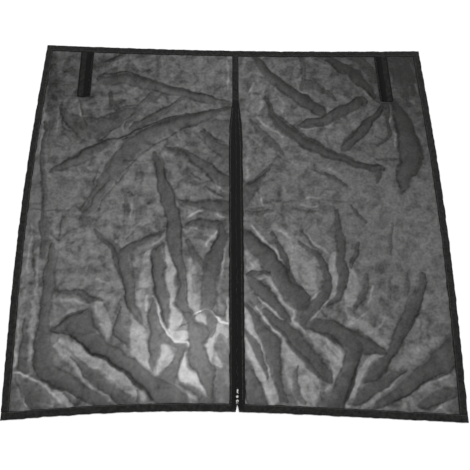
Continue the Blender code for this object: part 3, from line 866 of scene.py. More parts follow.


# Read off the photo's plan, in mm. A fold is its height, its weight and (x, y, width) at each point that it
# passes through, a gleam its depth and the same points, and a crease its depth, its width and its (x, y)
# points.
LEFT_FOLDS = folds(
    (4.5, 0.6, (-455, 492, 30), (-400, 497, 44), (-350, 494, 42), (-300, 481, 46), (-250, 463, 40),
     (-200, 448, 34), (-150, 434, 32), (-100, 421, 28), (-50, 406, 22), (-14, 398, 12)),
    (6, 0.65, (-12, 385, 8), (-50, 372, 20), (-100, 354, 32), (-140, 340, 42), (-180, 327, 50),
     (-220, 314, 58), (-272, 287, 62), (-324, 250, 64), (-362, 203, 64), (-402, 140, 58), (-428, 82, 46),
     (-452, 30, 34), (-470, 0, 26), (-484, -18, 8)),
    (3.5, 0.75, (-345, 302, 16), (-300, 330, 24), (-250, 362, 26), (-205, 396, 20), (-170, 420, 8)),
    (3, 0.7, (-290, 430, 26), (-310, 400, 28), (-330, 365, 26), (-350, 335, 22), (-362, 308, 12)),
    (2, 1, (-426, 442, 10), (-418, 410, 14), (-402, 380, 22), (-385, 366, 14)),
    (2.5, 0.75, (-586, 400, 12), (-565, 352, 34), (-528, 322, 60), (-490, 306, 82), (-450, 304, 80),
     (-398, 333, 62), (-354, 364, 34), (-325, 388, 8)),
    (4, 0.8, (-410, 255, 18), (-446, 235, 34), (-498, 201, 40), (-551, 169, 32), (-592, 148, 12)),
    (2, 1, (-455, 563, 6), (-425, 580, 14), (-395, 595, 18)),
    (2, 0.45, (-268, 598, 16), (-262, 550, 18), (-258, 500, 12)),
    (2, 0.35, (-232, 596, 12), (-228, 530, 16), (-225, 490, 8)),
    (2, 0.5, (-625, 545, 24), (-618, 470, 40), (-612, 400, 44), (-608, 330, 34), (-606, 240, 18)),
    (3, 0.9, (-634, 330, 8), (-626, 205, 14), (-616, 120, 20), (-608, 60, 18), (-602, 0, 20),
     (-594, -60, 24), (-588, -130, 16)),
    (2.5, 0.6, (-98, 328, 12), (-62, 312, 46), (-32, 306, 66)),
    (3, 0.8, (-115, 292, 10), (-85, 262, 24), (-52, 230, 36), (-26, 205, 42)),
    (3.5, 0.9, (-225, 238, 8), (-195, 226, 20), (-160, 208, 18), (-125, 185, 28), (-92, 158, 42),
     (-60, 130, 42), (-34, 114, 40)),
    (6.5, 1, (-262, 212, 14), (-258, 185, 26), (-240, 140, 28), (-229, 100, 40), (-213, 50, 42),
     (-198, 0, 47), (-190, -50, 45), (-184, -100, 40), (-176, -150, 30), (-167, -200, 20),
     (-162, -228, 20), (-162, -258, 25), (-163, -285, 24), (-150, -310, 23), (-135, -335, 19),
     (-113, -357, 8)),
    (5.5, 1, (-434, -54, 10), (-405, -80, 18), (-378, -108, 26), (-350, -145, 42), (-333, -190, 44),
     (-322, -230, 34), (-316, -268, 30), (-302, -303, 26), (-287, -325, 28), (-270, -350, 10)),
    (3.5, 1, (-216, -58, 8), (-250, -82, 15), (-285, -94, 18), (-320, -114, 22), (-345, -132, 26)),
    (5.5, 1, (-216, -98, 8), (-240, -125, 22), (-236, -160, 38), (-234, -210, 40), (-227, -242, 42),
     (-217, -272, 36), (-206, -310, 27), (-200, -345, 16), (-199, -362, 6)),
    (2.5, 0.85, (-243, -268, 8), (-241, -300, 24), (-237, -335, 36), (-228, -375, 50), (-232, -410, 40),
     (-234, -440, 28), (-236, -465, 18), (-237, -482, 6)),
    (2, 0.8, (-215, -388, 20), (-190, -404, 14), (-165, -412, 13), (-148, -420, 18), (-163, -442, 26),
     (-175, -474, 30), (-188, -500, 40), (-198, -518, 44)),
    (6.5, 1, (-43, -45, 24), (-46, -98, 36), (-58, -130, 47), (-67, -150, 56), (-75, -200, 46),
     (-76, -250, 41), (-79, -290, 45), (-82, -315, 38)),
    (4, 0.9, (-145, -92, 10), (-135, -125, 20), (-115, -152, 24), (-95, -172, 20)),
    (3.5, 1, (-160, 34, 10), (-120, 29, 24), (-80, 28, 31), (-28, 22, 44)),
    (3, 1, (-155, -38, 8), (-115, -34, 22), (-80, -34, 27), (-35, -40, 20)),
    (5.5, 1, (-566, -102, 10), (-562, -150, 33), (-561, -220, 36), (-561, -300, 34), (-563, -380, 38),
     (-560, -430, 50), (-548, -478, 60), (-505, -508, 58), (-458, -530, 46), (-412, -553, 40),
     (-370, -576, 42)),
    (3, 0.9, (-613, -338, 10), (-614, -400, 20), (-616, -470, 26), (-600, -482, 30)),
    (3, 1, (-530, -254, 5), (-495, -256, 14), (-460, -259, 20), (-430, -267, 21), (-400, -282, 8)),
    (4, 1, (-338, -303, 6), (-343, -340, 14), (-348, -368, 26), (-332, -388, 28), (-316, -402, 22),
     (-303, -414, 8)),
    (5, 1, (-540, -366, 8), (-500, -354, 40), (-465, -345, 64), (-438, -343, 74), (-425, -350, 58)),
    (7, 1, (-480, -366, 30), (-420, -400, 54), (-380, -425, 56), (-330, -455, 56), (-290, -483, 56),
     (-250, -512, 60), (-210, -540, 66), (-168, -568, 78)),
    (5, 1, (-472, -450, 6), (-436, -480, 20), (-408, -499, 27), (-370, -524, 34), (-335, -548, 39),
     (-305, -576, 44)),
    (4, 0.85, (-628, -496, 5), (-602, -524, 32), (-572, -552, 52), (-545, -575, 56)),
    (3, 0.8, (-644, -505, 8), (-636, -540, 20), (-618, -584, 36)),
    (2, 0.9, (-487, -548, 4), (-468, -560, 10), (-450, -574, 18)),
    (2, 0.8, (-273, -540, 10), (-271, -572, 14)),
    (2, 0.5, (-38, -215, 20), (-30, -240, 26)),
    (2, 0.6, (-126, -203, 8), (-118, -232, 14), (-112, -252, 8)),
    (2, 0.35, (-40, -490, 16), (-38, -530, 36), (-38, -575, 40)),
    (2, 0.8, (-160, -526, 8), (-125, -532, 18), (-95, -548, 26), (-82, -572, 30)),
    (3, 0.8, (-132, -335, 16), (-124, -355, 30), (-103, -378, 66), (-114, -410, 42), (-111, -438, 54),
     (-97, -466, 54), (-80, -506, 40), (-68, -546, 20), (-65, -572, 14)),
    (2.5, 0.85, (-66, -322, 24), (-66, -345, 32), (-78, -372, 40)),
    (2, 0.5, (-50, -402, 26), (-34, -430, 36), (-30, -455, 20)),
    (2, 0.6, (-346, 48, 12), (-342, 10, 18), (-342, -26, 10)),
    (2, 0.55, (-312, 48, 12), (-303, 18, 24), (-296, -10, 28), (-306, -32, 10)),
    (1.5, 0.5, (-530, -66, 6), (-475, -46, 12), (-436, -42, 12), (-396, -36, 6)),
)

LEFT_GLEAMS = gleams(
    (0.7, (-543, -522, 6), (-515, -538, 16), (-490, -551, 26), (-464, -566, 36)),
    (0.9, (-300, -312, 12), (-288, -350, 40), (-284, -400, 50), (-268, -445, 42), (-248, -472, 22),
     (-228, -491, 8)),
    (0.7, (-138, -150, 8), (-132, -200, 24), (-126, -250, 32), (-122, -290, 36), (-116, -320, 20)),
    (0.8, (-208, -112, 10), (-203, -150, 22), (-196, -200, 26), (-190, -240, 24), (-188, -278, 12)),
    (0.55, (-268, -130, 16), (-272, -180, 32), (-276, -230, 34), (-286, -285, 26)),
    (0.7, (-408, -284, 12), (-396, -315, 34), (-380, -350, 34), (-370, -388, 14)),
    (0.5, (-598, -285, 8), (-596, -330, 16), (-596, -400, 18), (-592, -452, 10)),
    (0.75, (-518, -412, 12), (-490, -440, 28), (-460, -470, 24), (-425, -507, 20), (-388, -537, 18),
     (-352, -566, 12)),
    (0.8, (-505, -398, 12), (-470, -420, 28), (-429, -446, 32), (-368, -484, 32), (-307, -526, 32),
     (-258, -562, 20)),
    (1.1, (-192, -282, 6), (-182, -315, 22), (-173, -340, 40), (-186, -356, 20)),
    (1.1, (-112, -328, 8), (-94, -330, 24), (-90, -346, 16)),
    (1.2, (-196, -366, 12), (-182, -380, 26), (-160, -386, 34), (-142, -384, 22)),
    (1.05, (-212, -414, 6), (-192, -430, 30), (-200, -455, 32), (-212, -477, 22), (-222, -494, 10)),
    (1.4, (-148, -438, 4), (-144, -462, 12), (-142, -490, 36), (-140, -508, 48), (-118, -512, 30),
     (-98, -528, 18), (-76, -556, 6)),
    (1.0, (-50, -362, 30), (-34, -372, 26), (-28, -385, 12)),
    (1.1, (-55, -370, 20), (-65, -391, 26), (-73, -411, 32), (-66, -436, 25), (-55, -459, 27),
     (-43, -476, 14)),
)

LEFT_CREASES = creases(
    (0.55, 16, (-452, 505), (-400, 516), (-350, 508), (-300, 492), (-250, 472), (-200, 457), (-100, 430)),
    (0.6, 18, (-60, 372), (-150, 352), (-200, 342), (-250, 322), (-310, 296), (-370, 262)),
    (1.2, 5, (-452, 517), (-412, 521), (-390, 526), (-356, 518), (-330, 503), (-300, 501), (-252, 474),
     (-200, 467), (-156, 446), (-100, 435), (-13, 407)),
    (0.5, 5, (-442, 470), (-410, 482), (-370, 480), (-335, 470), (-300, 455), (-235, 440), (-140, 415),
     (-52, 394)),
    (1.2, 6, (-17, 383), (-95, 370), (-150, 360), (-203, 353), (-243, 338), (-300, 314), (-330, 298),
     (-374, 272), (-404, 266), (-450, 248), (-482, 226), (-535, 190), (-578, 166)),
    (0.7, 5, (-340, 318), (-300, 345), (-250, 378), (-205, 408), (-172, 424)),
    (0.6, 5, (-585, 385), (-568, 330), (-528, 285), (-498, 258), (-470, 252)),
    (-0.6, 8, (-352, 344), (-395, 300), (-440, 268)),
    (0.6, 5, (-60, 352), (-120, 328), (-180, 298), (-235, 262), (-291, 225), (-330, 176), (-366, 128),
     (-392, 78), (-425, 28), (-456, -12)),
    (0.8, 4, (-330, 376), (-352, 350), (-375, 322), (-400, 303), (-425, 277), (-452, 247)),
    (0.6, 5, (-318, 400), (-345, 393), (-370, 383), (-388, 371)),
    (0.5, 6, (-572, 310), (-550, 298), (-530, 285), (-505, 252)),
    (0.6, 5, (-537, 424), (-520, 400), (-510, 360), (-500, 325), (-492, 313)),
    (-0.8, 5, (-527, 395), (-515, 350), (-505, 330), (-493, 321), (-480, 320), (-463, 331)),
    (0.9, 6, (-540, 428), (-510, 424), (-490, 428), (-476, 430)),
    (0.5, 5, (-456, 198), (-486, 181), (-521, 166), (-543, 155), (-591, 146)),
    (0.8, 5, (-458, 563), (-434, 577), (-412, 589), (-392, 598)),
    (0.4, 6, (-392, 565), (-360, 580), (-320, 595)),
    (0.6, 10, (-322, 522), (-300, 533), (-288, 545)),
    (-0.5, 6, (-256, 590), (-254, 550), (-252, 500)),
    (-0.6, 6, (-30, 570), (-25, 500), (-22, 440)),
    (0.5, 5, (-582, 450), (-580, 380), (-573, 325), (-566, 305)),
    (-0.8, 9, (-641, 380), (-640, 290), (-636, 215)),
    (-0.5, 7, (-594, 420), (-592, 350), (-590, 290)),
    (0.9, 5, (-117, 311), (-100, 298), (-73, 274), (-38, 250)),
    (0.6, 5, (-139, 296), (-121, 276), (-95, 246), (-65, 220), (-34, 190)),
    (0.7, 4, (-225, 240), (-190, 225), (-160, 210), (-134, 180), (-100, 148), (-78, 118), (-52, 98),
     (-30, 90)),
    (0.8, 5, (-82, 185), (-65, 155), (-43, 137), (-26, 133)),
    (0.9, 9, (-95, 94), (-78, 81), (-52, 68), (-30, 50)),
    (-0.7, 10, (-70, 118), (-50, 92), (-32, 74)),
    (0.8, 10, (-143, 137), (-128, 125), (-112, 118)),
    (0.6, 10, (-195, 168), (-178, 160)),
    (0.8, 4, (-446, 148), (-452, 98), (-458, 68), (-473, 42), (-489, 11)),
    (0.7, 4, (-406, 133), (-413, 98), (-430, 72), (-452, 50), (-460, 20), (-478, -2)),
    (0.5, 5, (-634, 203), (-621, 133), (-613, 76), (-606, 24), (-600, -30)),
    (0.8, 5, (-543, 7), (-543, -41), (-545, -102)),
    (0.5, 6, (-646, 15), (-600, 13), (-560, 9), (-520, 6), (-492, 8)),
    (0.7, 9, (-619, -102), (-615, -154), (-608, -206)),
    (-0.6, 9, (-632, -40), (-630, -110), (-632, -190)),
    (-0.5, 9, (-603, -110), (-600, -180), (-598, -260)),
    (0.8, 10, (-357, 184), (-340, 180), (-315, 183)),
    (0.6, 8, (-350, 75), (-335, 72), (-320, 62)),
    (-0.8, 8, (-325, 32), (-326, 5), (-327, -22)),
    (0.7, 10, (-320, -62), (-334, -85)),
    (0.8, 4, (-219, -62), (-247, -80), (-278, -82), (-308, -97)),
    (0.5, 4, (-212, -91), (-243, -108), (-278, -128), (-313, -141)),
    (-0.8, 8, (-216, -76), (-240, -96), (-258, -108)),
    (0.8, 4, (-412, -72), (-382, -106), (-365, -132), (-347, -171), (-338, -235), (-325, -283),
     (-305, -315), (-283, -336), (-270, -350)),
    (0.6, 4, (-312, -150), (-305, -205), (-303, -240), (-300, -290), (-285, -312), (-272, -335)),
    (0.7, 4, (-278, 205), (-258, 170), (-252, 130), (-249, 95), (-236, 50), (-222, 0), (-213, -50),
     (-206, -100), (-200, -130), (-186, -160), (-176, -200), (-160, -235), (-178, -262), (-178, -285),
     (-160, -310), (-148, -330), (-135, -350)),
    (0.9, 4, (-240, 200), (-228, 145), (-208, 98), (-191, 48), (-175, 15), (-172, -20), (-166, -75),
     (-161, -130), (-155, -165), (-152, -205), (-143, -235), (-145, -270), (-138, -305), (-118, -330),
     (-100, -354)),
    (0.9, 4, (-217, -93), (-240, -112), (-258, -122), (-252, -150), (-250, -205), (-243, -245),
     (-228, -275), (-215, -310), (-205, -350), (-200, -364)),
    (0.5, 4, (-214, -95), (-217, -130), (-214, -205), (-200, -250), (-194, -300), (-197, -355)),
    (0.7, 4, (-240, -268), (-235, -285), (-222, -312), (-212, -345), (-200, -375), (-185, -395),
     (-160, -406), (-138, -405)),
    (0.6, 4, (-252, -270), (-252, -350), (-250, -400), (-248, -450), (-238, -482)),
    (0.9, 5, (-188, 50), (-156, 42), (-100, 46), (-30, 47)),
    (0.6, 5, (-199, 68), (-173, 37), (-147, 15), (-126, 11)),
    (0.5, 4, (-135, 14), (-95, 16), (-50, 3), (-30, 4)),
    (0.9, 5, (-158, -33), (-120, -22), (-90, -15), (-50, -27), (-28, -25)),
    (-1.0, 9, (-150, -10), (-122, 4), (-105, 9)),
    (-0.9, 9, (-62, -4), (-42, -11), (-28, -10)),
    (0.9, 4, (-50, -45), (-55, -80), (-68, -108), (-92, -140)),
    (-1.2, 18, (-62, -58), (-75, -85), (-88, -105)),
    (-1.0, 10, (-31, -120), (-33, -170), (-42, -212)),
    (-0.8, 14, (-138, -50), (-112, -58)),
    (0.5, 4, (-97, -160), (-98, -200), (-97, -250), (-103, -300), (-112, -325)),
    (0.8, 4, (-114, -326), (-95, -318), (-70, -308), (-50, -318), (-30, -330), (-28, -300), (-34, -278)),
    (0.7, 4, (-36, -130), (-40, -170), (-50, -205), (-53, -250), (-57, -290), (-46, -312)),
    (0.5, 6, (-545, -140), (-545, -250), (-547, -340), (-542, -380), (-533, -430)),
    (0.4, 6, (-580, -150), (-578, -250), (-583, -350), (-586, -450)),
    (-0.7, 8, (-595, -300), (-595, -380), (-593, -455)),
    (-0.8, 8, (-636, -330), (-635, -420), (-634, -485)),
    (-1.3, 8, (-634, -489), (-595, -500), (-543, -524), (-508, -548), (-484, -574)),
    (-1.8, 6, (-634, -489), (-613, -520), (-598, -550), (-582, -586)),
    (0.7, 4, (-630, -498), (-600, -542), (-576, -588)),
    (-0.9, 8, (-566, -572), (-540, -573), (-514, -578)),
    (0.6, 4, (-600, -494), (-550, -512), (-510, -528), (-470, -546), (-426, -570)),
    (0.5, 4, (-530, -460), (-500, -485), (-455, -508), (-415, -530), (-380, -550), (-350, -572)),
    (0.8, 4, (-467, -453), (-443, -485), (-418, -513), (-385, -535), (-355, -555)),
    (0.5, 4, (-463, -448), (-417, -476), (-375, -494), (-338, -520), (-303, -548), (-290, -575)),
    (1.2, 8, (-543, -367), (-517, -375), (-484, -385), (-448, -406), (-410, -433), (-370, -453),
     (-330, -479), (-295, -501), (-258, -531), (-230, -566)),
    (0.9, 5, (-543, -362), (-510, -343), (-470, -325), (-426, -303)),
    (0.7, 4, (-426, -303), (-417, -340), (-398, -375), (-378, -402), (-345, -420), (-300, -447),
     (-260, -478), (-235, -500), (-205, -515), (-165, -540), (-110, -566)),
    (-1.2, 8, (-173, -531), (-140, -549), (-110, -566)),
    (0.8, 5, (-548, -250), (-500, -248), (-460, -249), (-430, -262), (-398, -283)),
    (0.4, 10, (-410, -250), (-370, -252), (-340, -255)),
    (-0.7, 14, (-520, -275), (-470, -280), (-430, -292)),
    (0.7, 9, (-298, -247), (-275, -238), (-258, -247)),
    (0.7, 4, (-150, -424), (-154, -445), (-162, -462), (-158, -482), (-176, -512)),
    (0.8, 4, (-56, -375), (-58, -430), (-59, -480), (-60, -530), (-60, -572)),
    (-2.6, 6, (-243, -264), (-226, -306), (-216, -345), (-203, -375), (-182, -394), (-158, -399),
     (-138, -405), (-135, -420)),
    (0.8, 4, (-236, -282), (-224, -330), (-214, -364), (-200, -386), (-180, -401), (-150, -406)),
    (-3.2, 7, (-122, -322), (-102, -313), (-82, -310), (-62, -315), (-48, -332), (-38, -348), (-22, -356)),
    (0.9, 4, (-172, -288), (-156, -320), (-134, -317), (-110, -343), (-94, -358)),
    (-1.3, 6, (-27, -270), (-24, -320), (-24, -365)),
    (-1.4, 7, (-182, -526), (-160, -538), (-132, -551), (-112, -561)),
    (0.9, 5, (-178, -360), (-160, -358), (-145, -352), (-132, -345)),
    (0.7, 5, (-140, -375), (-136, -400), (-132, -418), (-140, -436), (-130, -462), (-102, -505),
     (-80, -545)),
    (0.6, 4, (-58, -360), (-90, -400), (-96, -412), (-82, -440), (-62, -480), (-58, -520)),
    (0.7, 4, (-132, -320), (-120, -335), (-108, -350), (-92, -358)),
    (-1.2, 16, (-262, -262), (-268, -290), (-262, -310)),
    (-0.6, 24, (-420, -215), (-380, -225)),
)

RIGHT_FOLDS = folds(
    (6, 1, (62, 584, 12), (95, 545, 34), (141, 487, 38), (189, 444, 42), (237, 409, 48), (283, 371, 36),
     (306, 354, 10)),
    (5, 1, (210, 318, 10), (245, 325, 28), (290, 336, 32), (330, 350, 30), (370, 378, 36), (400, 394, 42),
     (428, 407, 42), (438, 413, 14)),
    (6, 1, (108, 428, 6), (114, 390, 14), (124, 350, 24), (150, 315, 34), (183, 287, 34), (217, 262, 38),
     (252, 236, 38), (288, 214, 30), (325, 198, 24), (365, 185, 24), (405, 170, 24), (445, 158, 24),
     (480, 152, 14)),
    (3, 1, (460, 160, 28), (462, 135, 24), (455, 104, 6)),
    (5, 1, (492, 388, 12), (478, 362, 20), (462, 340, 26), (430, 310, 30), (395, 272, 34), (365, 240, 34),
     (350, 226, 12)),
    (3.5, 1, (312, 590, 14), (350, 562, 34), (388, 534, 38), (423, 500, 36), (453, 464, 26),
     (478, 430, 12)),
    (2, 0.6, (400, 590, 20), (440, 562, 40), (466, 530, 44), (478, 490, 24)),
    (2.5, 0.8, (228, 592, 10), (235, 550, 16), (234, 505, 18), (228, 462, 10)),
    (3, 0.8, (240, 492, 14), (265, 478, 30), (285, 462, 24), (305, 447, 14), (328, 428, 12), (342, 408, 6)),
    (3, 0.75, (50, 337, 10), (75, 300, 22), (105, 265, 26), (135, 235, 20), (157, 208, 8)),
    (7, 1, (533, 402, 24), (553, 360, 50), (563, 310, 60), (570, 260, 66), (575, 215, 70), (568, 172, 64),
     (550, 140, 50), (540, 110, 36), (535, 82, 18), (533, 62, 6)),
    (2.5, 0.9, (505, 395, 20), (512, 350, 16), (514, 318, 10), (511, 288, 11), (498, 262, 12),
     (474, 237, 8)),
    (2, 0.6, (570, 462, 8), (584, 432, 12), (584, 394, 8)),
    (2, 0.6, (572, 590, 80), (575, 540, 90), (580, 490, 80), (584, 440, 50)),
    (2, 0.8, (463, 190, 7), (495, 191, 12), (527, 190, 7)),
    (2.5, 1, (288, 142, 8), (315, 124, 14), (340, 108, 14), (357, 93, 5)),
    (3.5, 0.8, (120, 167, 8), (98, 145, 16), (75, 118, 28), (52, 90, 36), (38, 60, 34), (32, 28, 24)),
    (2, 0.8, (40, 0, 10), (80, 2, 14), (116, 8, 8)),
    (1.5, 0.7, (180, 14, 5), (226, 5, 10), (262, 7, 5)),
    (1.5, 0.6, (118, 48, 5), (148, 33, 11), (185, 42, 6)),
    (1.5, 0.5, (295, 42, 8), (345, 42, 10)),
    (2.5, 0.9, (366, 24, 6), (387, -6, 13), (406, -30, 6)),
    (5, 1, (316, 8, 10), (320, -40, 18), (327, -80, 28), (325, -120, 26), (320, -155, 20), (328, -185, 34),
     (328, -215, 34), (322, -245, 28), (305, -272, 24), (276, -300, 8)),
    (3, 1, (382, -104, 12), (372, -135, 20), (357, -160, 14), (350, -178, 6)),
    (2, 0.7, (488, -35, 8), (479, -85, 12), (478, -135, 6)),
    (7, 1, (33, -76, 46), (62, -105, 48), (92, -135, 50), (117, -165, 47), (138, -195, 46),
     (155, -222, 52), (170, -246, 59), (185, -266, 64), (198, -283, 58), (204, -292, 30)),
    (3, 1, (112, -68, 10), (130, -100, 16), (146, -130, 18), (158, -165, 14), (163, -192, 5)),
    (5.5, 1, (198, -96, 8), (225, -118, 14), (252, -138, 19), (271, -165, 24), (279, -200, 25),
     (280, -225, 25), (270, -255, 29), (252, -280, 33), (230, -305, 36), (208, -330, 34), (193, -354, 14)),
    (2.5, 1.3, (34, -203, 12), (62, -196, 16), (88, -191, 14), (106, -192, 8)),
    (5, 1, (40, -213, 14), (62, -229, 34), (80, -246, 40), (103, -272, 34), (128, -302, 29),
     (149, -327, 22), (162, -341, 8)),
    (6, 1, (90, -314, 16), (125, -350, 40), (160, -385, 46), (195, -425, 48), (230, -465, 50),
     (260, -500, 38), (272, -520, 10)),
    (5.5, 1, (36, -298, 10), (47, -318, 16), (62, -345, 20), (78, -370, 26), (96, -390, 40),
     (106, -410, 47), (110, -450, 42), (121, -495, 30), (133, -536, 20), (142, -572, 11)),
    (3, 0.9, (31, -366, 8), (48, -391, 16), (58, -414, 23), (68, -436, 25), (77, -460, 19), (84, -484, 13),
     (93, -508, 5)),
    (4, 0.8, (28, -455, 8), (42, -500, 28), (55, -540, 42), (65, -578, 54)),
    (6, 1, (202, -362, 12), (245, -352, 44), (285, -370, 56), (325, -388, 64), (360, -405, 62),
     (395, -420, 42), (433, -430, 8)),
    (6, 1, (345, -422, 54), (335, -460, 44), (322, -495, 42), (305, -530, 48), (285, -560, 62),
     (270, -584, 78)),
    (6, 1, (569, -203, 20), (563, -235, 28), (544, -280, 35), (516, -325, 41), (500, -350, 38),
     (482, -378, 32), (467, -403, 30), (451, -428, 30), (435, -452, 34), (414, -478, 36), (397, -498, 30),
     (368, -518, 12)),
    (4, 0.9, (322, -578, 14), (360, -555, 34), (400, -530, 36), (440, -506, 28), (482, -488, 10)),
    (6, 1, (392, -584, 10), (430, -565, 38), (470, -540, 50), (510, -507, 54), (550, -481, 56),
     (590, -460, 66), (622, -440, 80), (640, -425, 90)),
    (3, 1.1, (525, -586, 16), (558, -566, 34), (590, -552, 40), (626, -545, 26)),
    (2, 0.7, (600, -590, 20), (632, -580, 30)),
    (2.5, 0.9, (180, -468, 6), (171, -495, 15), (170, -525, 18), (176, -552, 18), (194, -572, 14)),
    (3, 0.8, (398, -202, 12), (392, -240, 20), (378, -270, 22), (356, -302, 10)),
    (2, 0.5, (338, -302, 12), (352, -318, 18), (374, -336, 8)),
    (2, 0.5, (519, -195, 8), (515, -262, 12)),
    (2, 0.5, (470, -222, 8), (458, -268, 12)),
)

RIGHT_GLEAMS = gleams(
    (1.05, (31, -308, 8), (42, -340, 22), (52, -366, 30), (67, -391, 22), (78, -414, 11), (84, -434, 8),
     (90, -455, 12), (99, -484, 18), (108, -527, 21), (117, -562, 22)),
    (1.1, (31, -394, 8), (45, -434, 15), (60, -468, 19), (75, -505, 23), (90, -536, 24), (105, -568, 24)),
    (0.7, (140, -400, 12), (154, -440, 34), (176, -480, 62), (196, -520, 86), (206, -550, 80),
     (204, -572, 52)),
    (0.6, (262, -545, 18), (282, -515, 16), (297, -488, 13), (311, -462, 8)),
    (0.85, (248, -308, 8), (238, -322, 15), (226, -340, 17), (217, -354, 10)),
    (0.7, (38, -128, 12), (44, -146, 30), (52, -164, 42), (58, -180, 48), (60, -190, 24)),
    (0.6, (86, -203, 8), (98, -216, 16), (110, -236, 15), (122, -258, 10), (136, -276, 6)),
    (0.7, (299, -128, 10), (299, -160, 24), (300, -200, 22), (300, -232, 18), (286, -262, 12),
     (266, -286, 8)),
    (0.7, (222, -382, 14), (252, -404, 38), (278, -430, 44), (300, -468, 38), (292, -502, 20)),
    (0.55, (150, -98, 20), (170, -130, 42), (193, -170, 54), (208, -206, 62), (228, -242, 44)),
    (0.35, (128, -48, 30), (160, -90, 60), (205, -135, 84), (232, -190, 60), (240, -228, 36)),
    (0.55, (352, -172, 14), (357, -215, 32), (350, -260, 34), (336, -305, 28), (348, -338, 20)),
    (0.75, (428, -434, 8), (392, -452, 16), (366, -484, 18), (346, -518, 17), (330, -550, 14),
     (320, -584, 12)),
    (0.65, (360, -582, 12), (402, -556, 16), (442, -531, 17), (482, -504, 14), (532, -462, 7)),
    (0.4, (345, -345, 24), (380, -372, 56), (412, -398, 52), (432, -420, 20)),
    (0.25, (604, -392, 16), (570, -412, 46), (530, -436, 60), (490, -462, 50), (456, -486, 24)),
)

